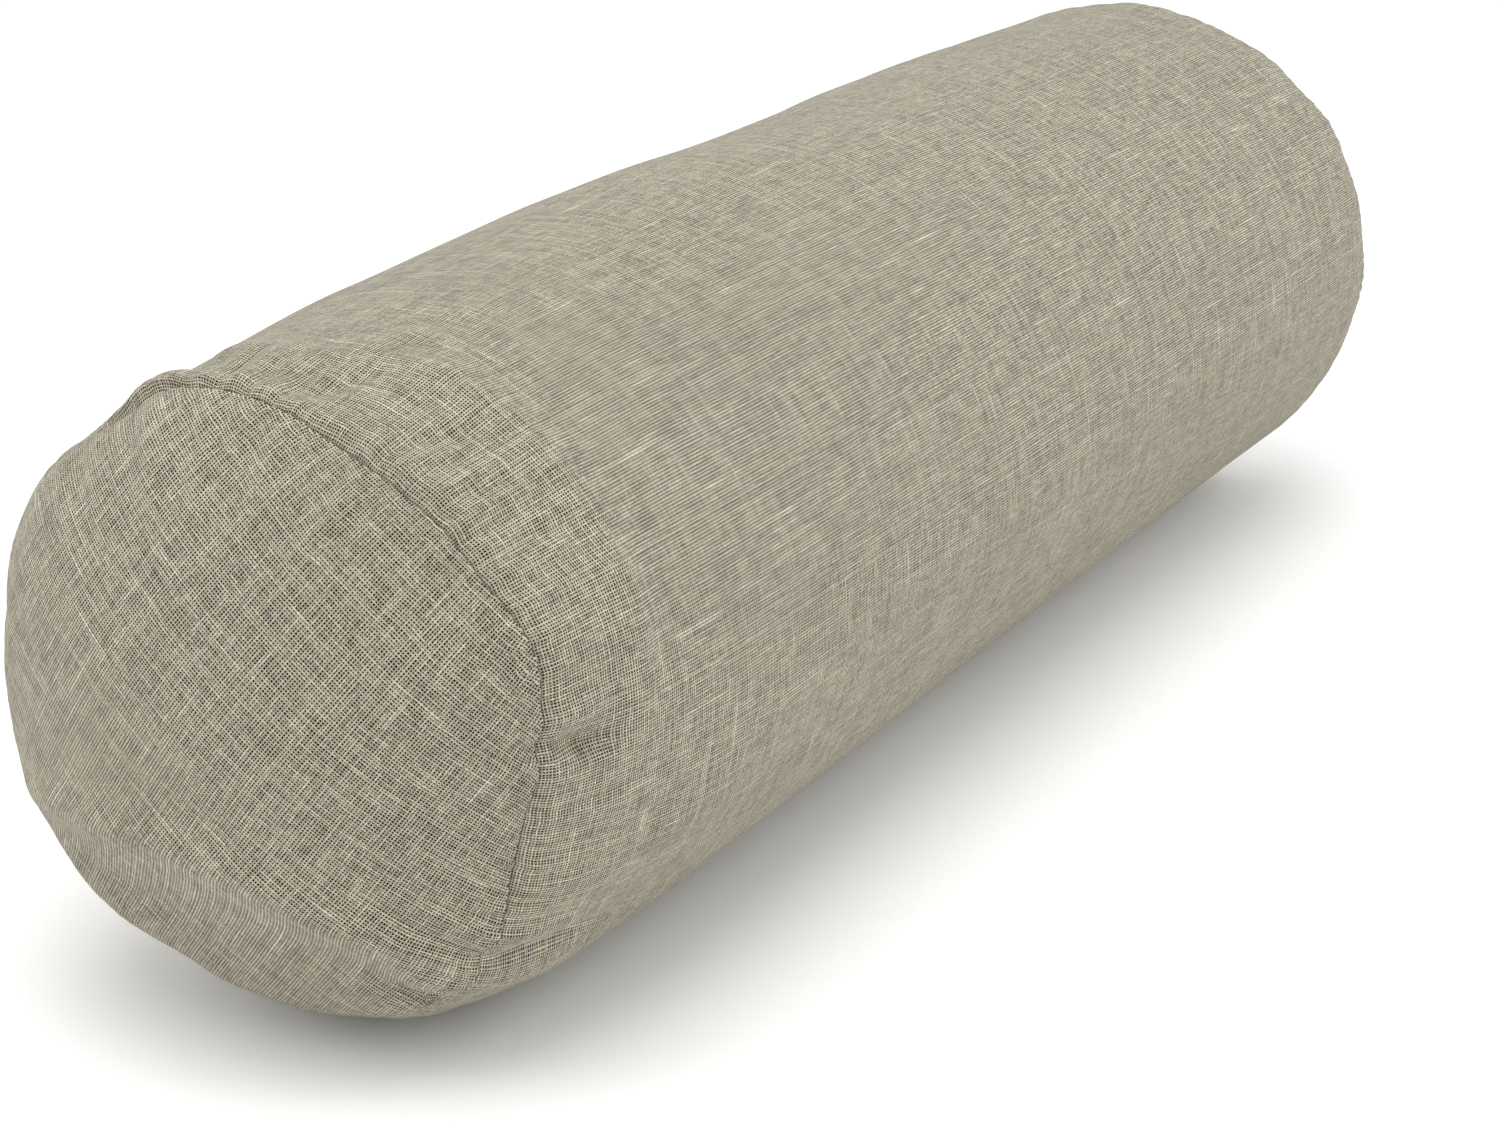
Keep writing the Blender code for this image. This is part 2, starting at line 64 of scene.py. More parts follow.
# Sizes read from the frame
COVER_LOW, COVER_HIGH = box_mm("cover_body")
RADIUS = (COVER_HIGH[1] - COVER_LOW[1]) / 2
AXIS_HEIGHT = COVER_HIGH[2] - RADIUS
FLOOR_SOFTNESS = 1.0


@dataclass
class End:
    """One end of the bolster. Its seam runs through the corners, each an angle in degrees and a radius."""

    name: str
    side: int  # -1 at the left, 1 at the right
    seam_x: float
    ease: float  # how far from the seam the tube reaches its full radius
    crown: float  # how far the panel's middle stands out beyond the seam
    crown_power: float
    rim_power: float
    grain: float  # how far the panel's threads are turned, in degrees
    gathering: float
    seed: int
    corners: tuple


def seam_plane(name):
    """Where along the bolster the seam of one end lies."""
    low, high = box_mm("cover_thread_" + name)
    return (low[0] + high[0]) / 2


LEFT_CORNERS = (
    (10, 88.6), (35, 90), (52, 87), (64, 85.6), (76, 89.3), (108, 86), (122, 86), (142, 87.4), (158, 92.2),
    (177, 87.2), (188, 83.2), (200, 82.6), (229, 88.3), (268, 83.8), (291, 83), (320, 89.6), (338, 91.2),
)
RIGHT_CORNERS = (
    (20, 93.6), (60, 90.5), (105, 92.6), (128, 93.4), (150, 95.6), (186, 97), (212, 93), (240, 91.8),
    (285, 94), (330, 92.4),
)
LEFT = End(
    "left",
    -1,
    seam_plane("left"),
    ease=107,
    crown=32,
    crown_power=1.9,
    rim_power=1.5,
    grain=52,
    gathering=1.0,
    seed=11,
    corners=LEFT_CORNERS,
)
RIGHT = End(
    "right",
    1,
    seam_plane("right"),
    ease=30,
    crown=15,
    crown_power=2.2,
    rim_power=2.2,
    grain=12,
    gathering=0.55,
    seed=23,
    corners=RIGHT_CORNERS,
)
ENDS = (LEFT, RIGHT)


# ---------------------------------------------------------------- shape of the filled cover


def smooth_step(value):
    """0 below 0, 1 above 1, and an S-shaped rise between."""
    t = np.clip(value, 0, 1)
    return t * t * (3 - 2 * t)


def window(angle, start, stop, softness):
    """1 between two angles in degrees, falling to 0 over the softness outside them."""
    degrees = np.degrees(angle) % 360
    return smooth_step((degrees - start) / softness + 1) * smooth_step((stop - degrees) / softness + 1)


def turn_from(angle, centre):
    """The signed turn in radians from a centre given in degrees."""
    return (angle - radians(centre) + pi) % FULL_TURN - pi


def through_corners(corners, angle):
    """A closed outline that eases from each corner's radius to the next one's."""
    knots = sorted(corners)
    # Rounded, so that a place exactly at a corner belongs to the stretch that starts there.
    degrees = np.round(np.degrees(angle), 6) % 360
    result = np.zeros_like(degrees)
    for index, (start, first) in enumerate(knots):
        stop, second = knots[(index + 1) % len(knots)]
        span = (stop - start) % 360
        share = ((degrees - start) % 360) / span
        inside = share < 1
        blend = 0.5 - 0.5 * np.cos(pi * np.clip(share, 0, 1))
        result = np.where(inside, first + (second - first) * blend, result)
    return result


def waves(seed, angle, x, turns, lengths, count=9):
    """Random waves with a whole number of turns round the axis, of about unit size."""
    draw = np.random.default_rng(seed)
    total = np.zeros(np.broadcast(angle, x).shape)
    for _ in range(count):
        around = draw.integers(turns[0], turns[1] + 1)
        along = FULL_TURN / draw.uniform(*lengths) * draw.choice((-1, 1))
        total = total + np.cos(around * angle + along * x + draw.uniform(0, FULL_TURN))
    return total / np.sqrt(count / 2)


def pleats(signal, softness=0.06, mean=0.8):
    """Round ridges with narrow valleys between them, from a signal of about unit size."""
    return np.sqrt(signal * signal + softness) - mean


def hump(offset, half_size):
    """1 where the offset is 0, falling off smoothly on both sides of it."""
    return np.exp(-((offset / half_size) ** 2))


def turned_hump(along, across, turn, long, wide):
    """A long hill, with its long side turned by so many degrees. Long and wide are its half sizes."""
    c, s = cos(radians(turn)), sin(radians(turn))
    a = (along * c + across * s) / long
    b = (across * c - along * s) / wide
    return np.exp(-a * a - b * b)


def seam_radius(end, angle):
    """How far the seam of one end lies from the axis, before its puckers."""
    return through_corners(end.corners, angle)


@dataclass
class Fold:
    """A ridge (or, with a height below 0, a groove) in the tube."""

    distance: float  # from the left seam
    angle: float  # in degrees
    long: float
    wide: float
    turn: float  # of its long side from the bolster's length, in degrees
    height: float


FOLDS = (
    Fold(6, 68, 6, 13, 0, 3.8),
    Fold(15.5, 71, 3, 10, 10, -1.0),
    Fold(24, 76, 13, 16, 0, 2.6),
    Fold(12, 175.6, 11, 4.2, 12, -3.4),
    Fold(9, 170, 12, 4.5, 0, 1.7),
    Fold(24, 190, 16, 6, 10, 0.8),
    Fold(18, 219.5, 24, 3.5, 0, -2.4),
    Fold(20, 214, 24, 4.5, 0, 1.4),
    Fold(20, 226, 24, 5, 0, 1.2),
    Fold(18, 100, 14, 4, 22, -0.9),
    Fold(20, 121, 15, 4, 24, -1.1),
    Fold(17, 141, 16, 3.5, 18, -0.9),
    Fold(24, 151, 18, 4, 12, 0.8),
    Fold(60, 96, 40, 9, 18, 0.8),
    Fold(95, 150, 45, 12, -16, -0.7),
    Fold(80, 200, 40, 10, 12, 0.7),
    Fold(26, 292, 24, 5, 14, -1.4),
    Fold(22, 338, 22, 5, -12, -1.3),
    Fold(24, 14, 20, 4, 10, -1.2),
    Fold(88, 76, 56, 32, 0, -3.7),
    Fold(235, 84, 50, 34, 0, 2.2),
    Fold(400, 80, 210, 40, 0, 1.5),
    Fold(170, 224, 50, 26, 0, -1.4),
    Fold(430, 224, 200, 32, 0, -2.8),
)
FOLD_SHARE = 1.35
CREASE_SHARE = 1.4

# A low ridge that runs round the front of the tube, at a wandering distance from the left seam. A span is
# the start, stop and softness of a window, in degrees.
RIDGE_DISTANCE = 34
RIDGE_WANDER = 5
RIDGE_HALF_WIDTH = 8
RIDGE_HEIGHT = 1.9
RIDGE_SPAN = (106, 170, 14)


def fold_relief(distance, angle):
    """The larger folds of the tube: most lie near its left seam, and the wide ones shape its outline."""
    total = np.zeros(np.broadcast(distance, angle).shape)
    for fold in FOLDS:
        along = distance - fold.distance
        around = RADIUS * turn_from(angle, fold.angle)
        total = total + fold.height * turned_hump(along, around, fold.turn, fold.long, fold.wide)
    place = RIDGE_DISTANCE + RIDGE_WANDER * np.sin(3 * angle + 1)
    ridge = hump(distance - place, RIDGE_HALF_WIDTH) * window(angle, *RIDGE_SPAN)
    return FOLD_SHARE * total + RIDGE_HEIGHT * ridge


LEAST_GATHERING = 0.2
GATHERED_SPAN = (80, 230, 25)


def gathering(end, angle):
    """How strongly the cloth gathers along a seam. The left one gathers mostly on its front."""
    if end is LEFT:
        on_front = window(angle, *GATHERED_SPAN)
        return end.gathering * (LEAST_GATHERING + (1 - LEAST_GATHERING) * on_front)
    return end.gathering


# The height of each kind of wave in the tube's cloth, and how far from a seam it reaches
SWELL = 0.5
SMALL_SWELL = 0.16
PUCKER, PUCKER_REACH = 0.5, 6
GATHER, GATHER_START, GATHER_REACH = 1.1, 3, 22
RIPPLE, RIPPLE_START, RIPPLE_REACH = 0.9, 20, 80

# How the front of the left seam sinks into its crevice
SEAM_SINK = 1.9
SEAM_WIDTH = 1.7
SUNK_SPAN = (108, 198, 12)


def fade(distance, reach):
    """1 at a seam, falling off with the distance from it."""
    return np.exp(-distance / reach)


def tube_relief(x, angle, part=1.0):
    """How far the cloth of the tube stands out from its smooth shape. A layer shows a part of it."""
    total = SWELL * waves(5, angle, x, (2, 6), (200, 500))
    total = total + SMALL_SWELL * waves(6, angle, x, (9, 20), (60, 200))
    for end in ENDS:
        distance = np.maximum(end.side * (end.seam_x - x), 0)
        size = gathering(end, angle)
        puckers = pleats(waves(end.seed, angle, x, (52, 84), (60, 200)))
        gathers = pleats(waves(end.seed + 1, angle, x, (22, 40), (90, 300)))
        ripples = waves(end.seed + 2, angle, x, (7, 15), (150, 500))
        total = total + size * PUCKER * puckers * fade(distance, PUCKER_REACH)
        start = 1 - fade(distance, GATHER_START)
        total = total + size * GATHER * gathers * fade(distance, GATHER_REACH) * start
        start = 1 - fade(distance, RIPPLE_START)
        total = total + size * RIPPLE * ripples * fade(distance, RIPPLE_REACH) * start
    sunk = window(angle, *SUNK_SPAN) * hump(x - LEFT.seam_x, SEAM_WIDTH)
    total = total - SEAM_SINK * sunk
    return part * (total + fold_relief(x - LEFT.seam_x, angle) + CREASE_SHARE * tube_crease(x, angle))


LIP_SOFTNESS = 0.02
TAPER_POWER = 1.5
TAPER_SPAN = (52, 92, 30)
OVERHANG = 3.2
OVERHANG_SPAN = (61, 76, 12)


def ease_radius(end, distance, angle, depth, corner):
    """The radius at a distance from one seam, before folds: an ellipse, or a straighter taper on top."""
    seam = seam_radius(end, angle) - corner
    span = end.ease - corner * 0.3
    t = np.clip(distance / span, 0, 1)
    start, stop = sqrt(LIP_SOFTNESS), sqrt(1 + LIP_SOFTNESS)
    rise = (np.sqrt(1 - (1 - t) ** 2 + LIP_SOFTNESS) - start) / (stop - start)
    if end is LEFT:
        on_top = window(angle, *TAPER_SPAN)
        taper = 1 - (1 - t) ** TAPER_POWER
        rise = rise + on_top * (taper - rise) * smooth_step(distance / 12)
    return seam + (RADIUS - depth - seam) * rise


def overhang(distance, angle):
    """How far the tube's cloth leans out over the left seam near the top of the back."""
    start = smooth_step(distance / 4)
    return OVERHANG * window(angle, *OVERHANG_SPAN) * start * fade(np.maximum(distance - 3, 0), 9)


def tube_point(x, angle, depth=0.0, corner=0.0, part=1.0):
    """A point of the tube's surface, for arrays of places along it and angles round it."""
    left = ease_radius(LEFT, x - (LEFT.seam_x + corner), angle, depth, corner)
    right = ease_radius(RIGHT, (RIGHT.seam_x - corner) - x, angle, depth, corner)
    radius = np.minimum(left, right) + tube_relief(x, angle, part)
    radius = flatten_behind_zipper(x, angle, radius, depth)
    shift = overhang(x - LEFT.seam_x, angle) * part
    return placed(x - shift, angle, radius, depth)


def placed(x, angle, radius, depth):
    """The point at a radius and an angle, with the underside pressed flat on the floor."""
    y = radius * np.cos(angle)
    z = radius * np.sin(angle) + AXIS_HEIGHT - depth
    z = 0.5 * (z + np.sqrt(z * z + FLOOR_SOFTNESS**2)) + depth
    return np.stack(np.broadcast_arrays(x, y, z), axis=-1)


# ---------------------------------------------------------------- the zipper's place

ZIPPER_LOW, ZIPPER_HIGH = box_mm("tape_thread_upper")
ZIPPER_FROM, ZIPPER_TO = ZIPPER_LOW[0], ZIPPER_HIGH[0]
ZIPPER_ANGLE = 25.0
SLOT_HALF_WIDTH = 5.0
BEHIND_ZIPPER = 1.8
SIDE_SEAM_DEPTH = 1.6
SIDE_SEAM_WELT = 0.5
SIDE_SEAM_INSIDE = 3.0
SLOT_MARGIN = 4.0
SLOT_FROM, SLOT_TO = ZIPPER_FROM - SLOT_MARGIN, ZIPPER_TO + SLOT_MARGIN
FLAT_DISTANCE = RADIUS * cos(radians(5))
ZIPPER_NORMAL = np.array((0, cos(radians(ZIPPER_ANGLE)), sin(radians(ZIPPER_ANGLE))))
ZIPPER_ACROSS = np.array((0, sin(radians(ZIPPER_ANGLE)), -cos(radians(ZIPPER_ANGLE))))


def at_zipper(x, across, height):
    """A point given along, across and above the flat that the zipper lies in."""
    x, across, height = np.broadcast_arrays(*(np.asarray(v, float) for v in (x, across, height)))
    centre = np.array((0, 0, AXIS_HEIGHT))
    out = centre + ZIPPER_NORMAL * (FLAT_DISTANCE + height[..., None]) + ZIPPER_ACROSS * across[..., None]
    out = np.array(out)
    out[..., 0] = x
    return out


def flatten_behind_zipper(x, angle, radius, depth):
    """Draws a layer onto the flat along the zipper, and sinks the side seam beyond the zipper's ends."""
    turn = turn_from(angle, ZIPPER_ANGLE)
    across = RADIUS * np.abs(turn)
    along = smooth_step((x - (SLOT_FROM - 30)) / 26) * smooth_step((SLOT_TO + 30 - x) / 26)
    slant = np.cos(np.clip(turn, -0.5, 0.5))
    if depth == 0:
        share = smooth_step((17 - across) / 7) * along
        seam = SIDE_SEAM_DEPTH * hump(across, 1.5)
        welt = SIDE_SEAM_WELT * hump(across - 3.2, 2.0)
        return radius * (1 - share) + FLAT_DISTANCE / slant * share - (seam - welt) * (1 - along)
    share = smooth_step((26 - across) / 11) * along
    flat = (FLAT_DISTANCE - BEHIND_ZIPPER - depth) / slant
    groove = SIDE_SEAM_INSIDE * hump(across, 7) * (1 - along)
    return np.minimum(radius, radius * (1 - share) + flat * share) - groove


# ---------------------------------------------------------------- mesh helpers


def new_object(name, points, faces, smooth=True):
    """A mesh object from points in millimetres."""
    mesh = bpy.data.meshes.new(name)
    mesh.from_pydata((np.asarray(points).reshape(-1, 3) * MM).tolist(), [], faces)
    mesh.validate()
    mesh.update()
    if smooth:
        mesh.shade_smooth()
    made = bpy.data.objects.new(name, mesh)
    bpy.context.scene.collection.objects.link(made)
    return made


def grid_faces(rows, columns, closed, start=0, skip=()):
    """The quads of a grid of points, row by row. Closed joins the last column to the first."""
    faces = []
    for row in range(rows - 1):
        for column in range(columns if closed else columns - 1):
            if (row, column) in skip:
                continue
            after = (column + 1) % columns
            a = start + row * columns
            faces.append((a + column, a + after, a + columns + after, a + columns + column))
    return faces


def set_uv(made, uv):
    """Gives each point its place on the flat cloth, in metres, as the UV map named cloth."""
    layer = made.data.uv_layers.new(name="cloth")
    index = np.zeros(len(made.data.loops), np.int32)
    made.data.loops.foreach_get("vertex_index", index)
    layer.data.foreach_set("uv", (uv[index] * MM).astype(np.float32).ravel())


def unwrap_closing(made, uv, width):
    """Like set_uv, for a tube: faces across the last column go on counting instead of jumping back."""
    layer = made.data.uv_layers.new(name="cloth")
    values = np.zeros((len(made.data.loops), 2))
    for polygon in made.data.polygons:
        loops = list(polygon.loop_indices)
        corner = uv[[made.data.loops[i].vertex_index for i in loops]].copy()
        if corner[:, 1].max() - corner[:, 1].min() > width / 2:
            corner[corner[:, 1] < width / 2, 1] += width
        values[loops] = corner
    layer.data.foreach_set("uv", (values * MM).astype(np.float32).ravel())


def thicken(made, thickness, offset=-1.0):
    """Gives a sheet of cloth its thickness, inwards."""
    solidify = made.modifiers.new("thickness", "SOLIDIFY")
    solidify.thickness = thickness * MM
    solidify.offset = offset
    solidify.use_even_offset = False
    apply_modifiers(made)


def apply_modifiers(made):
    """Replaces an object's mesh with the one that its modifiers make."""
    bpy.context.view_layer.update()
    graph = bpy.context.evaluated_depsgraph_get()
    mesh = bpy.data.meshes.new_from_object(made.evaluated_get(graph))
    made.modifiers.clear()
    made.data = mesh


def spread(stops):
    """Places along a line from (value, count) pairs: each count is how many steps lead to that value."""
    result = [stops[0][0]]
    for (start, _), (stop, count) in zip(stops, stops[1:]):
        result += [start + (stop - start) * step / count for step in range(1, count + 1)]
    return np.array(result)


# ---------------------------------------------------------------- creases, by cloth simulation

SIM_STEPS = 40
SIM_COLUMNS = 4 * SIM_STEPS
SIM_ROWS = 121
SIM_FRAMES = 24
TUBE_EXCESS = 0.6
PANEL_EXCESS = 1.01
CREASE_LIMIT = 1.6
CREASES = {}  # grids of small folds: one for the tube and one for each end panel


def cubic_sample(grid, row, column, wraps):
    """Reads a grid smoothly at fractional rows and columns. Wraps joins the last column to the first."""

    def taps(place, count, closed):
        base = np.floor(place).astype(int)
        f = place - base
        weights = (-0.5 * f + f * f - 0.5 * f**3, 1 - 2.5 * f * f + 1.5 * f**3,
                   0.5 * f + 2 * f * f - 1.5 * f**3, -0.5 * f * f + 0.5 * f**3)
        index = [base + step for step in (-1, 0, 1, 2)]
        index = [k % count if closed else np.clip(k, 0, count - 1) for k in index]
        return list(zip(index, weights))

    total = 0
    for i, a in taps(row, grid.shape[0], False):
        for j, b in taps(column, grid.shape[1], wraps):
            total = total + grid[i, j] * a * b
    return total


def tube_crease(x, angle):
    """How far the simulated creases stand out at a place on the tube."""
    if "tube" not in CREASES:
        return 0.0
    x, angle = np.broadcast_arrays(x, angle)
    start, stop = LEFT.seam_x, RIGHT.seam_x
    row = np.clip((x - start) / (stop - start), 0, 1) * (SIM_ROWS - 1)
    return cubic_sample(CREASES["tube"], row, (angle % FULL_TURN) / FULL_TURN * SIM_COLUMNS, True)


def square_place(share, angle):
    """The place on the square grid that disc_grid draws at a radius share and an angle, each from -1 to 1."""
    quarter = np.floor((angle + pi / 4) / (pi / 2)).astype(int) % 4
    local = (angle + pi / 4) % (pi / 2) - pi / 4
    across = share * local / (pi / 4)
    a = np.choose(quarter, (share, -across, -share, across))
    b = np.choose(quarter, (across, share, -across, -share))
    return a, b


def panel_crease(end, share, angle):
    """How far the simulated creases stand out at a place on an end panel."""
    if end.name not in CREASES:
        return 0.0
    share, angle = np.broadcast_arrays(share, angle)
    even = 1 - (1 - np.clip(share, 0, 1)) ** (1 / RIM_CROWDING)
    a, b = square_place(even, angle)
    return cubic_sample(CREASES[end.name], (a + 1) / 2 * SIM_STEPS, (b + 1) / 2 * SIM_STEPS, False)


def simulated_creases():
    """Blows up the cover as cloth held at its seams, and keeps only its small folds."""
    points, faces, held, starts = crease_mesh()
    cloth = new_object("crease_cloth", points, faces)
    make_consistent(cloth)
    group = cloth.vertex_groups.new(name="held")
    group.add(held, 1.0, "REPLACE")
    normals = vertex_normals(cloth)
    moved = ((blown_up(cloth, points) - points) * normals).sum(1)
    bpy.data.objects.remove(cloth)
    tube = moved[: SIM_ROWS * SIM_COLUMNS].reshape(SIM_ROWS, SIM_COLUMNS)
    found = {"tube": small_folds(tube, True)}
    for end in ENDS:
        start = starts[end.name]
        grid = moved[start : start + (SIM_STEPS + 1) ** 2].reshape(SIM_STEPS + 1, SIM_STEPS + 1)
        found[end.name] = small_folds(grid, False)
    return found


def crease_mesh():
    """A coarse cover: its points, faces and held points, and where the points of each end panel start."""
    angles = np.arange(SIM_COLUMNS) * FULL_TURN / SIM_COLUMNS
    x, angle = np.meshgrid(np.linspace(LEFT.seam_x, RIGHT.seam_x, SIM_ROWS), angles, indexing="ij")
    points = [tube_point(x, angle).reshape(-1, 3)]
    faces = grid_faces(SIM_ROWS, SIM_COLUMNS, True)
    last_row = (SIM_ROWS - 1) * SIM_COLUMNS
    held = list(range(SIM_COLUMNS)) + list(range(last_row, last_row + SIM_COLUMNS))
    share, disc_angle, rim = disc_grid(SIM_STEPS)
    crowded = 1 - (1 - share) ** RIM_CROWDING
    starts = {}
    for end in ENDS:
        start = sum(len(p) for p in points)
        starts[end.name] = start
        points.append(panel_point(end, crowded, disc_angle))
        faces += grid_faces(SIM_STEPS + 1, SIM_STEPS + 1, False, start)
        column = np.round(disc_angle[rim] / FULL_TURN * SIM_COLUMNS).astype(int) % SIM_COLUMNS
        order = rim[np.argsort(column)]
        row_start = 0 if end is LEFT else last_row
        for k in range(SIM_COLUMNS):
            after = (k + 1) % SIM_COLUMNS
            faces.append((row_start + k, row_start + after, int(start + order[after]), int(start + order[k])))
        held += [int(start + k) for k in rim]
    return np.concatenate(points), faces, held, starts


def blown_up(cloth, points):
    """Where the points of the cloth lie in millimetres once the pressure inside has blown it up."""
    cloth.shape_key_add(name="filled")
    cut = cloth.shape_key_add(name="cut")
    cut.data.foreach_set("co", (cut_wider(points) * MM).ravel())
    modifier = cloth.modifiers.new("cloth", "CLOTH")
    settings = modifier.settings
    settings.quality = 5
    settings.mass = 0.0005
    settings.air_damping = 2
    settings.tension_stiffness = settings.compression_stiffness = 150
    settings.shear_stiffness = 30
    settings.bending_stiffness = 1
    settings.vertex_group_mass = "held"
    settings.use_pressure = True
    settings.uniform_pressure_force = 12
    settings.rest_shape_key = cut
    settings.effector_weights.gravity = 0
    modifier.collision_settings.use_self_collision = False
    modifier.collision_settings.use_collision = False
    scene = bpy.context.scene
    for number in range(1, SIM_FRAMES + 1):
        scene.frame_set(number)
    graph = bpy.context.evaluated_depsgraph_get()
    blown = np.zeros(len(points) * 3)
    cloth.evaluated_get(graph).data.vertices.foreach_get("co", blown)
    scene.frame_set(1)
    return blown.reshape(-1, 3) / MM


def cut_wider(points):
    """The cloth's own size: the tube is cut wider than the seams that gather it, the panels slightly."""
    middle = np.array((0, 0, AXIS_HEIGHT))
    cut = points - middle
    tube_count = SIM_ROWS * SIM_COLUMNS
    radius = np.hypot(cut[:tube_count, 1], cut[:tube_count, 2])
    wider = np.full(len(points), PANEL_EXCESS)
    wider[:tube_count] = 1 + TUBE_EXCESS * np.maximum(RADIUS - radius, 0) / RADIUS
    cut[:, 1:] *= wider[:, None]
    return cut + middle


def vertex_normals(made):
    """The direction in which each point of a mesh faces."""
    normals = np.zeros(len(made.data.vertices) * 3)
    made.data.vertices.foreach_get("normal", normals)
    return normals.reshape(-1, 3)


def small_folds(moved, wraps, reach=9):
    """The part of a movement that changes over a short way, capped and faded out at the held edges."""
    wide = moved
    for _ in range(3):
        wide = box_blur(wide, reach, wraps)
    folds = moved - wide
    rows = np.arange(moved.shape[0])
    edge = np.minimum(rows, rows[::-1])[:, None] / 2.0
    if not wraps:
        edge = np.minimum(edge, edge.T)
    return np.clip(folds, -CREASE_LIMIT, CREASE_LIMIT) * smooth_step(edge)


def box_blur(grid, reach, wraps):
    """An even average over a square of the grid."""
    for axis in (0, 1):
        mode = "wrap" if wraps and axis == 1 else "edge"
        pad = [(0, 0), (0, 0)]
        pad[axis] = (reach, reach)
        total = np.cumsum(np.pad(grid, pad, mode=mode), axis=axis)
        total = np.insert(total, 0, 0, axis=axis)
        size = 2 * reach + 1
        grid = (np.take(total, range(size, total.shape[axis]), axis)
                - np.take(total, range(total.shape[axis] - size), axis)) / size
    return grid


# ---------------------------------------------------------------- linen tube

COLUMNS = 400
FLANGE = 6.0
FLANGE_INSETS = (0.7, 2, 4, FLANGE)
FLANGE_GAP = 0.15
LINEN = 0.8
SLOT_TURN_IN = 0.55  # how far the slot's hem reaches in over its edge
HEM_WIDTH = 0.9
HEM_DROP = 0.45


def tube_angles():
    """Even angles round the tube, with exact columns along the zipper slot's edges and their rolled hems."""
    steps = (-SLOT_TURN_IN, -0.25, 0, 0.45, 1.0, 1.8)
    edges = [sign * (SLOT_HALF_WIDTH + step) for sign in (-1, 1) for step in steps]
    exact = np.array([radians(ZIPPER_ANGLE) + edge / FLAT_DISTANCE for edge in edges])
    even = np.linspace(0, FULL_TURN, COLUMNS, endpoint=False)
    clear = np.abs(even[:, None] - exact[None]).min(1) > 0.6 / RADIUS
    return np.sort(np.concatenate([even[clear], exact]))


def tube_places():
    """Places along the tube, close together by the seams."""
    left, right = LEFT.seam_x + FLANGE_GAP, RIGHT.seam_x - FLANGE_GAP
    return spread((
        (left, 0), (left + 4, 8), (left + 14, 11), (left + 50, 24), (left + 122, 27),
        (SLOT_FROM, 1), (SLOT_FROM + 1.2, 2), (SLOT_TO - 1.2, 44), (SLOT_TO, 2),
        (right - 36, 6), (right - 10, 14), (right - 3, 7), (right, 7),
    ))


def hem_drop(across, inside):
    """The rolled hem of the slot: how far the cloth turns down at a distance outside its edge."""
    roll = np.clip(1 - across / HEM_WIDTH, 0, 1.6)
    return np.where(inside, HEM_DROP * roll**2, 0)


def cloth_length(rows):
    """The length of cloth along each column of points, counted from the middle row."""
    steps = np.linalg.norm(np.diff(rows, axis=0), axis=-1)
    length = np.concatenate([np.zeros((1, rows.shape[1])), np.cumsum(steps, axis=0)])
    return length - length[len(rows) // 2]


def slot_faces(places, angles):
    """The (row, column) of each face of the tube that the zipper's slot leaves out."""
    rows = (places[:-1] + places[1:]) / 2
    columns = (angles[:-1] + angles[1:]) / 2
    in_rows = np.flatnonzero((rows >= SLOT_FROM) & (rows <= SLOT_TO))
    across = np.abs(turn_from(columns, ZIPPER_ANGLE)) * FLAT_DISTANCE
    in_columns = np.flatnonzero(across < SLOT_HALF_WIDTH - SLOT_TURN_IN - 0.01)
    return {(int(row), int(column)) for row in in_rows for column in in_columns}


def flange_rows(end, angles, depth, corner, insets):
    """Rows of points that turn the end of a tube in along its seam, from the edge inwards."""
    edge = seam_radius(end, angles) - corner + puckered_edge(end, angles)
    at = end.seam_x - end.side * (corner + FLANGE_GAP)
    return np.array([placed(at, angles, edge - inset, depth) for inset in insets])


def make_tube():
    """The linen tube with its flanges and with its slot for the zipper."""
    angles, places = tube_angles(), tube_places()
    x, angle = np.meshgrid(places, angles, indexing="ij")
    points = tube_point(x, angle)
    across = np.abs(RADIUS * turn_from(angle, ZIPPER_ANGLE)) - SLOT_HALF_WIDTH
    beyond = np.maximum(np.maximum(SLOT_FROM - x, x - SLOT_TO), 0)
    drop = hem_drop(np.maximum(across, beyond), (across > -0.6) & (beyond < 2))
    points = points - ZIPPER_NORMAL * drop[..., None]
    left, right = (flange_rows(end, angles, 0, 0, FLANGE_INSETS) for end in ENDS)
    every = np.concatenate([left[::-1], points, right])
    skip = {(row + len(left), column) for row, column in slot_faces(places, angles)}
    made = new_object("linen_tube", every, grid_faces(len(every), len(angles), True, skip=skip))
    length = cloth_length(every)
    uv = np.stack(np.broadcast_arrays(length, RADIUS * angles), axis=-1).reshape(-1, 2)
    unwrap_closing(made, uv, RADIUS * FULL_TURN)
    drop_loose(made)
    make_outward(made)
    thicken(made, LINEN)
    return made


def drop_loose(made):
    """Removes points that no face uses."""
    work = bmesh.new()
    work.from_mesh(made.data)
    bmesh.ops.delete(work, geom=[v for v in work.verts if not v.link_faces], context="VERTS")
    work.to_mesh(made.data)
    work.free()


def make_outward(made):
    """Turns the faces so that their normals point away from the bolster's axis."""
    count = len(made.data.polygons)
    middle = np.zeros(count * 3)
    normal = np.zeros(count * 3)
    made.data.polygons.foreach_get("center", middle)
    made.data.polygons.foreach_get("normal", normal)
    from_axis = middle.reshape(-1, 3) - np.array((0, 0, AXIS_HEIGHT * MM))
    outward = (normal.reshape(-1, 3) * from_axis)[:, 1:].sum()
    if outward < 0:
        made.data.flip_normals()


# ---------------------------------------------------------------- end panels

PANEL_STEPS = 110
PANEL_ROLL = 0.5
RIM_CROWDING = 1.5
PUCKER_POWER = 9


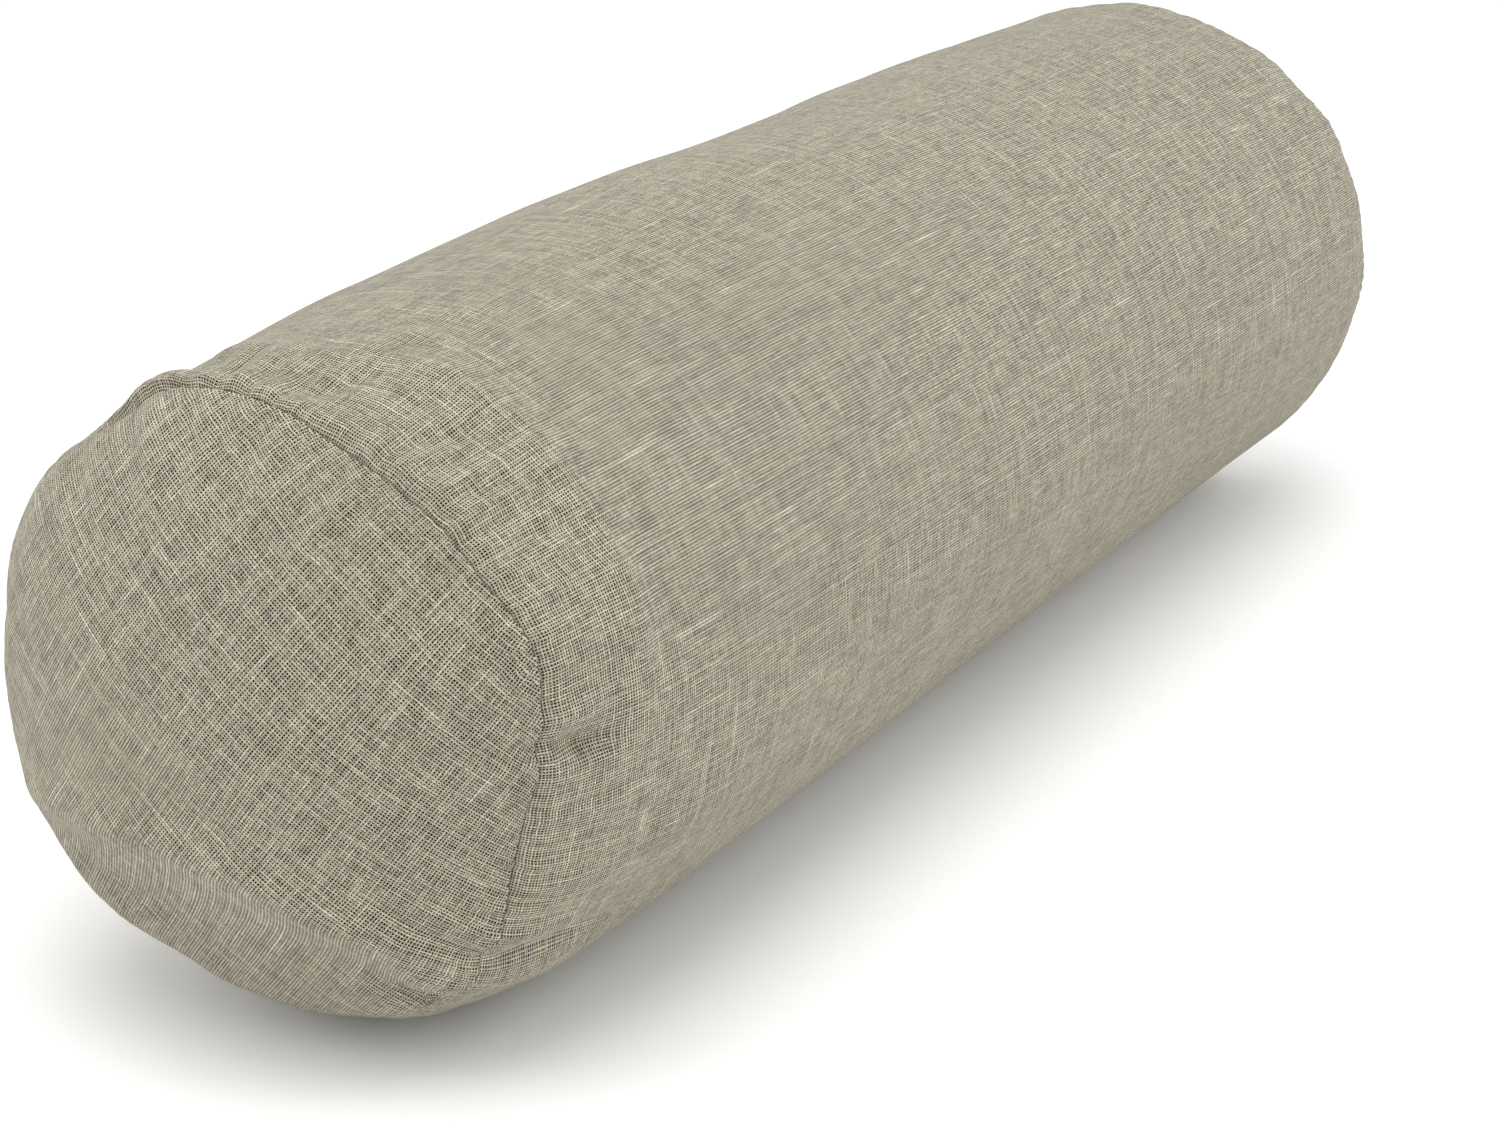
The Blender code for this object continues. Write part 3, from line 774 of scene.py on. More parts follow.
def disc_grid(steps):
    """A square grid drawn onto a round disc: its radius shares, its angles and the indices of its rim."""
    line = np.linspace(-1, 1, steps + 1)
    a, b = np.meshgrid(line, line, indexing="ij")
    big = np.maximum(np.abs(a), np.abs(b))
    safe = np.where(big > 0, big, 1)
    side_a = np.abs(a) >= np.abs(b)
    ratio = np.where(side_a, b / np.where(side_a, np.where(a == 0, 1, a), 1), a / np.where(side_a, 1, b))
    angle = np.where(side_a, ratio * pi / 4, pi / 2 - ratio * pi / 4)
    flip = np.where(side_a, a < 0, b < 0)
    angle = np.where(big > 0, angle + np.where(flip, pi, 0), 0) * (safe > 0)
    index = np.arange((steps + 1) ** 2).reshape(steps + 1, steps + 1)
    rim = list(index[0, :-1]) + list(index[:-1, -1]) + list(index[-1, :0:-1]) + list(index[:0:-1, 0])
    return big.ravel(), angle.ravel() % FULL_TURN, np.array(rim)


FLATTER_FRONT = 0.28
FLATTER_SPAN = (95, 215, 40)


def rim_power(end, angle):
    """How full the panel is at its rim. The left one is rounded over at the back and flatter on the front."""
    if end is LEFT:
        return end.rim_power - FLATTER_FRONT * window(angle, *FLATTER_SPAN)
    return end.rim_power


# The left panel's larger folds: a ridge through these places (y, z from the axis) with the cloth drawn in
# below it, and single ridges and dents.
PANEL_RIDGE = ((74, -32), (57, -29), (21, -27), (-11, -33), (-32, -41), (-50, -49), (-61, -65))
PANEL_RIDGE_HEIGHT = 3.4
PANEL_RIDGE_HALF_WIDTH = 7
DRAWN_IN = 5.0
PANEL_PUCKER, PANEL_PUCKER_REACH = 0.35, 5
PANEL_GATHER, PANEL_GATHER_REACH = 0.6, 18
PANEL_CREASE_SHARE = 0.9
TAUT_BELOW_RIDGE = 0.8
PANEL_DENTS = (
    # y, z, half sizes, turn in degrees, height
    (-48, -69, 10, 4, 25, -5.0),
    (-50, -61, 12, 4, 35, 1.4),
    (-20, -55, 22, 8, 12, -1.6),
    (30, -56, 26, 10, -4, -1.4),
    (70, 30, 9, 5, -60, 1.5),
    (76, 14, 8, 4, -80, 1.4),
    (74, 22, 5, 3, -70, -1.6),
    (52, 62, 14, 4, 40, -1.3),
    (26, 74, 12, 5, 60, 1.0),
    (-4, 72, 15, 4, 95, -1.0),
    (-58, 42, 12, 4, 150, -0.9),
    (-30, 62, 14, 4, 120, 0.8),
    (10, 20, 40, 25, 20, 0.8),
)


def distance_to_line(y, z, line):
    """The distance to a line through several places, and the same distance negative below the line."""
    best = np.full(np.shape(y), 1e9)
    above = np.zeros(np.shape(y))
    for (y0, z0), (y1, z1) in zip(line, line[1:]):
        dy, dz = y1 - y0, z1 - z0
        t = np.clip(((y - y0) * dy + (z - z0) * dz) / (dy * dy + dz * dz), 0, 1)
        gap = np.hypot(y - y0 - t * dy, z - z0 - t * dz)
        closer = gap < best
        sign = np.sign((z - z0) * -dy + (y - y0) * dz)
        above = np.where(closer, sign * gap, above)
        best = np.minimum(gap, best)
    return best, above


def panel_relief(end, share, angle, radius):
    """How far the end panel's cloth stands out from its smooth crown."""
    y, z = radius * np.cos(angle), radius * np.sin(angle)
    inward = radius / np.maximum(share, 1e-3) * (1 - share)
    inward = np.where(share < 1e-3, RADIUS, inward)
    steady = 1 - np.exp(-((radius / 25) ** 2))
    puckers = pleats(waves(end.seed + 5, angle, inward, (50, 80), (60, 200)))
    gathers = pleats(waves(end.seed + 6, angle, inward, (14, 30), (120, 400)))
    total = PANEL_PUCKER * puckers * fade(inward, PANEL_PUCKER_REACH)
    total = total + PANEL_GATHER * gathers * fade(inward, PANEL_GATHER_REACH)
    total = total * gathering(end, angle) * steady
    total = total + 0.5 * np.cos(0.045 * y + 1.1) * np.cos(0.052 * z + 0.4)
    creases = PANEL_CREASE_SHARE * panel_crease(end, share, angle)
    if end is LEFT:
        gap, above = distance_to_line(y, z, PANEL_RIDGE)
        crest = PANEL_RIDGE_HEIGHT * hump(gap, PANEL_RIDGE_HALF_WIDTH) - DRAWN_IN * smooth_step(-above / 24)
        total = total + crest * smooth_step(inward / 20)
        for dent_y, dent_z, long, wide, turn, height in PANEL_DENTS:
            total = total + height * turned_hump(y - dent_y, z - dent_z, turn, long, wide)
        creases = creases * (1 - TAUT_BELOW_RIDGE * smooth_step(-above / 12))
    return (total + creases) * np.clip((1 - share) / 0.03, 0, 1)


def panel_point(end, share, angle, depth=0.0, corner=0.0, part=1.0):
    """A point of an end panel. Share is 0 at its middle and 1 at the seam."""
    seam = seam_radius(end, angle) - corner
    radius = seam * share + puckered_edge(end, angle, part) * share**PUCKER_POWER
    soft = np.sqrt((share**2 + 0.02) / 1.02)
    bulge = np.maximum(1 - soft**end.crown_power, 0) ** (1 / rim_power(end, angle))
    crown = end.crown + corner - depth
    out = crown * bulge + part * panel_relief(end, share, angle, radius)
    x = end.seam_x + end.side * (FLANGE_GAP + PANEL_ROLL - corner + out)
    return placed(x, angle, radius, depth)


def puckered_edge(end, angle, part=1.0):
    """How far the tube's relief moves the seam, so that the panel meets it."""
    return part * tube_relief(np.array(end.seam_x), angle)


def make_panel(end, name, thickness, depth=0.0, corner=0.0, steps=PANEL_STEPS, flange=FLANGE):
    """One end panel: a disc of cloth with its rim turned in along the seam."""
    share, angle, rim = disc_grid(steps)
    share = 1 - (1 - share) ** RIM_CROWDING
    points = [panel_point(end, share, angle, depth, corner)]
    flat = panel_cloth(end, share, angle)
    rim_angle = angle[rim]
    edge = seam_radius(end, rim_angle) - corner + puckered_edge(end, rim_angle)
    uv = [flat]
    base = end.seam_x - end.side * corner
    rolls = (0.4, 0.8, 1.2, pi / 2)
    insets = (2, 4, flange)
    for turn in rolls:
        x = base + end.side * (FLANGE_GAP + PANEL_ROLL * (1 - sin(turn)))
        points.append(placed(x, rim_angle, edge - PANEL_ROLL * (1 - cos(turn)), depth))
        uv.append(flat[rim] * (1 + turn / RADIUS))
    for inset in insets:
        points.append(placed(base + end.side * FLANGE_GAP, rim_angle, edge - inset, depth))
        uv.append(flat[rim] * (1 + (pi / 2 + inset) / RADIUS))
    faces = grid_faces(steps + 1, steps + 1, False)
    count = len(rim)
    rings = [rim] + [len(share) + count * k + np.arange(count) for k in range(len(rolls) + len(insets))]
    for inner, outer in zip(rings, rings[1:]):
        for k in range(count):
            after = (k + 1) % count
            faces.append((int(inner[k]), int(inner[after]), int(outer[after]), int(outer[k])))
    made = new_object(name, np.concatenate(points), faces)
    set_uv(made, np.concatenate(uv))
    face_along(made, end.side)
    thicken(made, thickness)
    return made


def face_along(made, side):
    """Makes all faces agree and turns them so that the panel's middle looks out along the bolster."""
    work = bmesh.new()
    work.from_mesh(made.data)
    bmesh.ops.recalc_face_normals(work, faces=work.faces)
    work.faces.ensure_lookup_table()
    farthest = max(work.faces, key=lambda f: side * f.calc_center_median().x)
    if farthest.normal.x * side < 0:
        bmesh.ops.reverse_faces(work, faces=work.faces)
    work.to_mesh(made.data)
    work.free()


def panel_cloth(end, share, angle):
    """Where each point of a panel lies on its flat cloth, turned to the panel's grain."""
    shares, angles = np.linspace(0, 1, 81), np.arange(72) * FULL_TURN / 72
    lines = panel_point(end, shares[:, None], angles[None], part=0.0)
    steps = np.linalg.norm(np.diff(lines, axis=0), axis=-1)
    arcs = np.concatenate([np.zeros((1, len(angles))), np.cumsum(steps, axis=0)])
    arc = cubic_sample(arcs, share * (len(shares) - 1), angle / FULL_TURN * len(angles), True)
    turned = angle + radians(end.grain)
    return np.stack([arc * np.cos(turned), arc * np.sin(turned)], axis=-1)


# ---------------------------------------------------------------- layers inside the cover

COTTON = 0.4
WADDING = 12.0
LINER_DEPTH, LINER_CORNER = 1.2, 6.5
WADDING_DEPTH, WADDING_CORNER = 2.0, 7.3
CORE_DEPTH, CORE_CORNER, CORE_PART = 16.2, 21.5, 0.3
LINER_FLANGE = 4.0
LINER_SEAM_ANGLE = 185.0


def make_layer_tube(name, thickness, depth, corner, flange_width, columns=240):
    """A plain tube of one inner layer, with its ends turned in where it has a flange."""
    left, right = LEFT.seam_x + corner + FLANGE_GAP, RIGHT.seam_x - corner - FLANGE_GAP
    places = spread((
        (left, 0), (left + 6, 8), (left + 50, 22), (left + 110, 20),
        (right - 34, 60), (right - 8, 14), (right, 8),
    ))
    angles = np.linspace(0, FULL_TURN, columns, endpoint=False)
    x, angle = np.meshgrid(places, angles, indexing="ij")
    every = tube_point(x, angle, depth, corner)
    if flange_width:
        insets = np.array((0.2, 0.6, 1.0)) * flange_width
        left_rows, right_rows = (flange_rows(end, angles, depth, corner, insets) for end in ENDS)
        every = np.concatenate([left_rows[::-1], every, right_rows])
        places = np.concatenate([places[0] - insets[::-1], places, places[-1] + insets])
    made = new_object(name, every, grid_faces(len(every), columns, True))
    uv = np.stack(np.meshgrid(places, RADIUS * angles, indexing="ij"), axis=-1).reshape(-1, 2)
    unwrap_closing(made, uv, RADIUS * FULL_TURN)
    make_outward(made)
    thicken(made, thickness)
    return made


def make_core(columns=200):
    """The foam core: one closed, rounded solid from pole to pole."""
    angles = np.linspace(0, FULL_TURN, columns, endpoint=False)
    shares = 1 - (1 - np.linspace(0.04, 1, 26)) ** 1.4
    left, right = LEFT.seam_x + CORE_CORNER, RIGHT.seam_x - CORE_CORNER
    places = spread((
        (left, 0), (left + 12, 10), (left + 90, 20),
        (right - 24, 50), (right - 4, 9), (right, 4),
    ))
    rows = [panel_point(LEFT, share, angles, CORE_DEPTH, CORE_CORNER, CORE_PART) for share in shares]
    rows += [tube_point(x, angles, CORE_DEPTH, CORE_CORNER, CORE_PART) for x in places]
    rows += [panel_point(RIGHT, share, angles, CORE_DEPTH, CORE_CORNER, CORE_PART) for share in shares[::-1]]
    points = np.concatenate(rows)
    faces = grid_faces(len(rows), columns, True)
    last = (len(rows) - 1) * columns
    for start, centre in ((0, len(points)), (last, len(points) + 1)):
        for k in range(columns):
            faces.append((start + k, start + (k + 1) % columns, centre))
    poles = np.array([rows[0].mean(0), rows[-1].mean(0)])
    made = new_object("foam_block", np.concatenate([points, poles]), faces)
    face_along(made, 1)
    return made


# ---------------------------------------------------------------- threads


def tube_along(centres, across, out, thick, sides):
    """The points of one thread: a ring about each centre. Across and out span each cross-section."""
    turn = np.arange(sides) * FULL_TURN / sides
    ring = across[:, None] * np.cos(turn)[None, :, None] + out[:, None] * np.sin(turn)[None, :, None]
    return centres[:, None] + ring * np.asarray(thick)[:, None, None]


def capped_faces(rows, sides, start):
    """The faces of one closed thread whose ends are capped."""
    faces = grid_faces(rows, sides, True, start)
    faces.append(tuple(start + k for k in range(sides)))
    faces.append(tuple(start + (rows - 1) * sides + k for k in reversed(range(sides))))
    return faces


STITCH_RINGS = 7
STITCH_SIDES = 6
THREAD_RADIUS = 0.24


def make_stitches(name, middles, forwards, outs, length, radius=THREAD_RADIUS, sink=0.35):
    """Separate stitches in one object. Each bows up in its middle and dives into the cloth at both ends."""
    t = np.linspace(-1, 1, STITCH_RINGS)
    points, faces = [], []
    for middle, forward, out in zip(middles, forwards, outs):
        across = np.cross(forward, out)
        centres = middle + forward * (t * length / 2)[:, None] - out * (sink * t**4)[:, None]
        thick = radius * (1 - 0.35 * t**2)
        start = len(points) * STITCH_RINGS * STITCH_SIDES
        acrosses, uprights = (np.tile(way, (STITCH_RINGS, 1)) for way in (across, out))
        points.append(tube_along(centres, acrosses, uprights, thick, STITCH_SIDES))
        faces += capped_faces(STITCH_RINGS, STITCH_SIDES, start)
    made = new_object(name, np.concatenate([p.reshape(-1, 3) for p in points]), faces)
    make_consistent(made)
    return made


def make_consistent(made):
    """Makes every closed shell in a mesh face outwards."""
    work = bmesh.new()
    work.from_mesh(made.data)
    bmesh.ops.recalc_face_normals(work, faces=work.faces)
    work.to_mesh(made.data)
    work.free()


SEAM_STITCH = 2.7
SEAM_STITCH_DEPTH = 1.3


def radial(angles):
    """The directions that point straight out from the axis at some angles."""
    return np.stack([np.zeros_like(angles), np.cos(angles), np.sin(angles)], axis=-1)


def make_seam_stitches(end, name, depth=0.0, corner=0.0, pitch=SEAM_STITCH):
    """The stitches that hold one end panel to the tube. They cross the seam's crevice."""
    count = int(FULL_TURN * seam_radius(end, np.array([0.0]))[0] / pitch)
    angles = np.arange(count) * FULL_TURN / count
    edge = seam_radius(end, angles) - corner + puckered_edge(end, angles) - SEAM_STITCH_DEPTH
    middles = placed(end.seam_x - end.side * corner, angles, edge, depth)
    slant = 0.35 * np.stack([np.zeros_like(angles), -np.sin(angles), np.cos(angles)], axis=-1)
    forwards = slant + np.array((1.0, 0, 0))
    forwards = forwards / np.linalg.norm(forwards, axis=1, keepdims=True)
    return make_stitches(name, middles, forwards, radial(angles), 2 * FLANGE_GAP + 0.5, sink=0.1)


def make_side_stitches(name, start, stop, angle_degrees=ZIPPER_ANGLE, depth=0.0, corner=0.0, sunk=1.35):
    """The stitches of a lengthwise seam, lying across its crevice."""
    x = np.arange(start + SEAM_STITCH / 2, stop, SEAM_STITCH)
    angles = np.full_like(x, radians(angle_degrees))
    out = radial(angles)
    middles = tube_point(x, angles, depth, corner) + out * (SIDE_SEAM_DEPTH - sunk if depth == 0 else 0.1)
    around = np.stack([np.full_like(x, 0.35), -np.sin(angles), np.cos(angles)], axis=-1)
    around = around / np.linalg.norm(around, axis=1, keepdims=True)
    return make_stitches(name, middles, around, out, 1.5, sink=0.15)


# ---------------------------------------------------------------- zipper

TAPE_FROM, TAPE_TO = box_mm("zipper_tape_upper")[0][0], box_mm("zipper_tape_upper")[1][0]
TAPE_INNER = 0.6
TAPE_OUTER = 12.0
TAPE_TOP = -1.1
TAPE_THICKNESS = 0.5
COIL_FROM, COIL_TO = box_mm("zipper_coil_upper")[0][0], box_mm("zipper_coil_upper")[1][0]
COIL_PITCH = 1.25
COIL_STEPS = 14
COIL_SIDES = 6
FILAMENT = 0.26
TOPSTITCH_OFFSET = 6.4
TOPSTITCH_PITCH = 3.0
BAR_TACK_PASSES = 17
BAR_TACK_REACH = 4.7
BAR_TACK_LEAN = 0.28


def make_tape(name, side):
    """One woven zipper tape, slightly wavy along its outer edge, and thicker where the coil is sewn on."""
    x = np.linspace(TAPE_FROM, TAPE_TO, 220)
    across = np.array((TAPE_INNER, 0.9, 1.4, 2.2, 3.0, 3.4, 4.2, 5.5, 7.0, 8.5, 10, 11.2, TAPE_OUTER))
    along, over = np.meshgrid(x, across, indexing="ij")
    ripple = 0.05 * np.sin(along / 7 + side) * (over / TAPE_OUTER) ** 2
    ribs = 0.07 * np.exp(-(((over - 3.0) / 0.35) ** 2))
    top = at_zipper(along, side * over, TAPE_TOP + ripple + ribs)
    made = new_object(name, top, grid_faces(len(x), len(across), False))
    set_uv(made, np.stack([along, side * over], axis=-1).reshape(-1, 2))
    turn_towards(made, ZIPPER_NORMAL)
    thicken(made, TAPE_THICKNESS)
    return made


def turn_towards(made, direction):
    """Flips a sheet whose faces look away from a direction."""
    count = len(made.data.polygons)
    normal = np.zeros(count * 3)
    made.data.polygons.foreach_get("normal", normal)
    if (normal.reshape(-1, 3) @ direction).sum() < 0:
        made.data.flip_normals()


def make_coil(name, side):
    """One side of the coil chain: a flattened spiral whose loops reach between those of the other side."""
    turns = int((COIL_TO - COIL_FROM - 1) / COIL_PITCH)
    t = np.arange(turns * COIL_STEPS + 1) * FULL_TURN / COIL_STEPS
    shift = 0 if side > 0 else COIL_PITCH / 2
    x = COIL_FROM + 0.4 + shift + COIL_PITCH * t / FULL_TURN + 0.22 * np.sin(t + pi / 2)
    across = 1.15 + 0.95 * np.cos(t)
    height = -0.06 + 0.5 * np.sin(t) * (1 - 0.25 * np.cos(t))
    centres = at_zipper(x, side * across, height)
    ahead = np.gradient(centres, axis=0)
    ahead = ahead / np.linalg.norm(ahead, axis=1, keepdims=True)
    sideways = np.cross(ahead, np.array((1.0, 0, 0)))
    sideways = sideways / np.linalg.norm(sideways, axis=1, keepdims=True)
    out = np.cross(ahead, sideways)
    thick = FILAMENT * (1 + 0.25 * np.exp(-(((across - 0.2) / 0.25) ** 2)))
    points = tube_along(centres, sideways, out, thick, COIL_SIDES)
    made = new_object(name, points, capped_faces(len(t), COIL_SIDES, 0))
    make_consistent(made)
    return made


def make_topstitch(name, side):
    """The row of stitches that holds the turned hem of the slot to the tape."""
    x = np.arange(ZIPPER_FROM + 1, ZIPPER_TO, TOPSTITCH_PITCH)
    angles = radians(ZIPPER_ANGLE) + side * -TOPSTITCH_OFFSET / FLAT_DISTANCE + 0 * x
    middles = tube_point(x, angles) + radial(angles) * 0.12
    forwards = np.tile((1.0, 0, 0), (len(x), 1))
    return make_stitches(name, middles, forwards, radial(angles), TOPSTITCH_PITCH * 0.82, sink=0.4)


def make_bar_tack(name):
    """A short bar of close zigzag stitches across one end of the slot."""
    low, high = box_mm(name)
    middle_x = (low[0] + high[0]) / 2
    across = np.linspace(-BAR_TACK_REACH, BAR_TACK_REACH, BAR_TACK_PASSES)
    middles, forwards, outs = [], [], []
    for index, place in enumerate(across):
        lean = BAR_TACK_LEAN if index % 2 else -BAR_TACK_LEAN
        forward = np.array((1.0, 0, 0)) + ZIPPER_ACROSS * lean
        forwards.append(forward / np.linalg.norm(forward))
        middles.append(at_zipper(middle_x, place, 0.25))
        outs.append(ZIPPER_NORMAL)
    return make_stitches(name + "_zigzag", middles, forwards, outs, 2.2, radius=0.3, sink=0.5)


# ---------------------------------------------------------------- camera, light and floor

# Places are in metres here, and the lens and its sensor in millimetres.
CAMERA_AT = Vector((-0.9103, -0.4886, 0.4193))
LOOK_AT = Vector((-0.0297, 0, 0.0583))
LENS = 76.5
SENSOR_WIDTH = 36
LIGHTS = (
    # name, place, size in metres, power in watts
    ("key_light", (-0.4, -0.1, 1.8), 1.7, 18),
    ("left_fill", (-1.1, 1.3, 0.7), 1.0, 5),
    ("front_fill", (0.8, -1.4, 0.85), 1.4, 7.5),
)
LIGHTS_AIM = Vector((0, 0, 0.05))
SKY_STRENGTH = 0.9
FLOOR_SIZE = 12


def make_camera():
    """The camera of the main view."""
    data = bpy.data.cameras.new("camera")
    data.lens = LENS
    data.sensor_width = SENSOR_WIDTH
    data.clip_start = 0.01
    camera = bpy.data.objects.new("camera", data)
    camera.location = CAMERA_AT
    camera.rotation_euler = (LOOK_AT - CAMERA_AT).to_track_quat("-Z", "Y").to_euler()
    bpy.context.scene.collection.objects.link(camera)
    bpy.context.scene.camera = camera


def make_area_light(name, place, size, power):
    """A round lamp that shines on the bolster."""
    data = bpy.data.lights.new(name, "AREA")
    data.shape = "DISK"
    data.size = size
    data.energy = power
    lamp = bpy.data.objects.new(name, data)
    lamp.location = place
    lamp.rotation_euler = (LIGHTS_AIM - Vector(place)).to_track_quat("-Z", "Y").to_euler()
    bpy.context.scene.collection.objects.link(lamp)


def make_studio():
    """A white sky, three lamps and a white floor."""
    world = bpy.data.worlds.new("studio")
    world.use_nodes = True
    world.node_tree.nodes["Background"].inputs["Color"].default_value = (1, 1, 1, 1)
    world.node_tree.nodes["Background"].inputs["Strength"].default_value = SKY_STRENGTH
    bpy.context.scene.world = world
    bpy.context.scene.view_settings.view_transform = "Standard"
    for light in LIGHTS:
        make_area_light(*light)
    bpy.ops.mesh.primitive_plane_add(size=FLOOR_SIZE)
    floor = bpy.context.object
    floor.name = "floor"
    material = bpy.data.materials.new("white_floor")
    material.use_nodes = True
    shader = material.node_tree.nodes["Principled BSDF"]
    shader.inputs["Base Color"].default_value = (0.95, 0.95, 0.95, 1)
    shader.inputs["Roughness"].default_value = 0.9
    floor.data.materials.append(material)


# ---------------------------------------------------------------- materials


class Wire:
    """A node's output, on which arithmetic makes Math nodes."""

    def __init__(self, maker, socket):
        self.maker = maker
        self.socket = socket

    def __add__(self, other):
        return self.maker.math("ADD", self, other)

    def __radd__(self, other):
        return self.maker.math("ADD", other, self)

    def __sub__(self, other):
        return self.maker.math("SUBTRACT", self, other)

    def __rsub__(self, other):
        return self.maker.math("SUBTRACT", other, self)

    def __mul__(self, other):
        return self.maker.math("MULTIPLY", self, other)

    def __rmul__(self, other):
        return self.maker.math("MULTIPLY", other, self)

    def __truediv__(self, other):
        return self.maker.math("DIVIDE", self, other)


class Material:
    """One node material and the nodes that it is built from."""

    def __init__(self, name, colour, roughness, **settings):
        self.material = bpy.data.materials.new(name)
        self.material.use_nodes = True
        self.tree = self.material.node_tree
        self.shader = self.tree.nodes["Principled BSDF"]
        self.shader.inputs["Base Color"].default_value = (*colour, 1)
        self.shader.inputs["Roughness"].default_value = roughness
        for socket, value in settings.items():
            self.shader.inputs[socket.replace("_", " ")].default_value = value

    def node(self, kind, inputs=(), **settings):
        made = self.tree.nodes.new(kind)
        for key, value in settings.items():
            setattr(made, key, value)
        for key, value in dict(inputs).items():
            self.put(value, made.inputs[key])
        return made

    def put(self, value, socket):
        if isinstance(value, Wire):
            self.tree.links.new(value.socket, socket)
        elif isinstance(value, tuple) and len(value) == 3 and len(socket.default_value) == 4:
            socket.default_value = (*value, 1)
        else:
            socket.default_value = value

    def math(self, operation, *values):
        made = self.node("ShaderNodeMath", operation=operation)
        for value, socket in zip(values, made.inputs):
            self.put(value, socket)
        return Wire(self, made.outputs[0])

    def rise(self, value, low, high):
        """0 below low, 1 above high, smooth between."""
        made = self.node("ShaderNodeMapRange", interpolation_type="SMOOTHSTEP")
        self.put(value, made.inputs["Value"])
        made.inputs["From Min"].default_value = low
        made.inputs["From Max"].default_value = high
        return Wire(self, made.outputs["Result"])

    def combine(self, x, y, z=0.0):
        made = self.node("ShaderNodeCombineXYZ", {"X": x, "Y": y, "Z": z})
        return Wire(self, made.outputs[0])

    def cloth_place(self):
        """The place on the flat cloth, in metres, as two wires."""
        uv = self.node("ShaderNodeUVMap", uv_map="cloth")
        split = self.node("ShaderNodeSeparateXYZ", {"Vector": Wire(self, uv.outputs[0])})
        return Wire(self, split.outputs[0]), Wire(self, split.outputs[1])

    def object_place(self):
        made = self.node("ShaderNodeTexCoord")
        return Wire(self, made.outputs["Object"])

    def noise(self, place, scale, detail=2.0, roughness=0.5):
        made = self.node("ShaderNodeTexNoise", {"Vector": place})
        made.inputs["Scale"].default_value = scale
        made.inputs["Detail"].default_value = detail
        made.inputs["Roughness"].default_value = roughness
        return Wire(self, made.outputs[0])

    def mix(self, share, first, second, blend_type="MIX"):
        made = self.node("ShaderNodeMix", data_type="RGBA", blend_type=blend_type)
        self.put(share, made.inputs["Factor"])
        self.put(first, made.inputs[6])
        self.put(second, made.inputs[7])
        return Wire(self, made.outputs[2])

    def colour(self, wire):
        self.put(wire, self.shader.inputs["Base Color"])

    def rough(self, wire):
        self.put(wire, self.shader.inputs["Roughness"])

    def bump(self, height, distance, strength=1.0):
        made = self.node("ShaderNodeBump", {"Height": height})
        made.inputs["Distance"].default_value = distance
        made.inputs["Strength"].default_value = strength
        self.put(Wire(self, made.outputs[0]), self.shader.inputs["Normal"])


@dataclass
class Weave:
    """A plain weave, with lengths in metres."""

    pitch: float
    thread: tuple  # the colours of a light thread, a dull one, the gaps and the slubs
    dull: tuple
    # The gap colour is painted shade: it fills the gaps between threads and darkens their round flanks.
    gap: tuple
    slub: tuple
    slub_share: float
    drift: float  # how far the threads wander
    relief: float


def woven(name, weave, sheen, roughness):
    """A plain weave of uneven threads, with slubs, nubs, painted shade in the gaps between threads and down
    their round flanks, and faint colour patches.
    """
    look = {"Sheen_Weight": sheen, "Sheen_Roughness": 0.45, "Specular_IOR_Level": 0.18}
    m = Material(name, weave.thread, roughness, **look)
    u, v = m.cloth_place()
    place = m.combine(u, v)
    u = u + (m.noise(m.combine(u, v, 0.3), 13, 1) - 0.5) * weave.drift
    v = v + (m.noise(m.combine(u, v, 0.7), 15, 1) - 0.5) * weave.drift
    along_u, along_v = u / weave.pitch, v / weave.pitch
    warp, weft = m.math("FLOOR", along_v), m.math("FLOOR", along_u)
    warp_width, warp_tone, warp_slub = thread_variation(m, u, warp, 3.1)
    weft_width, weft_tone, weft_slub = thread_variation(m, v, weft, 8.7)
    warp_round = thread_profile(m, along_v, warp, warp_width)
    weft_round = thread_profile(m, along_u, weft, weft_width)
    warp_height = warp_round * (0.78 + 0.22 * crossing(m, along_u, warp))
    weft_height = weft_round * (0.78 - 0.22 * crossing(m, along_v, weft))
    height = m.math("MAXIMUM", warp_height, weft_height)
    warp_on_top = m.rise(warp_height - weft_height, -0.08, 0.08)
    slub = warp_on_top * warp_slub + (1 - warp_on_top) * weft_slub
    tone = warp_on_top * warp_tone + (1 - warp_on_top) * weft_tone
    nub = m.rise(m.noise(place, 330, 1), 0.74, 0.80) * m.rise(m.noise(place, 60, 0), 0.5, 0.7)
    pale = m.math("MINIMUM", m.math("MAXIMUM", slub * weave.slub_share, nub * 0.7), 1.0)
    colour = m.mix(tone, weave.dull, weave.thread)
    colour = m.mix(pale, colour, weave.slub)
    # Painted shade: where the threads are low, in the gaps and down their round flanks, the colour darkens
    # towards the gap colour.
    colour = m.mix(m.rise(height, 0.05, 0.85), weave.gap, colour)
    position = m.object_place()
    green = m.rise(m.noise(position, 11, 3), 0.45, 0.70)
    pink = m.rise(m.noise(position, 7, 3), 0.52, 0.72)
    colour = m.mix(green * 0.5, colour, m.mix(1.0, colour, (0.95, 1.0, 0.96), "MULTIPLY"))
    colour = m.mix(pink * 0.5, colour, m.mix(1.0, colour, (1.0, 0.96, 0.94), "MULTIPLY"))
    m.colour(colour)
    m.rough(roughness + 0.12 * (height - 0.5))
    fuzz = m.noise(place, 2600, 2)
    m.bump(height + 0.25 * slub + 0.12 * fuzz, weave.relief)
    return m.material


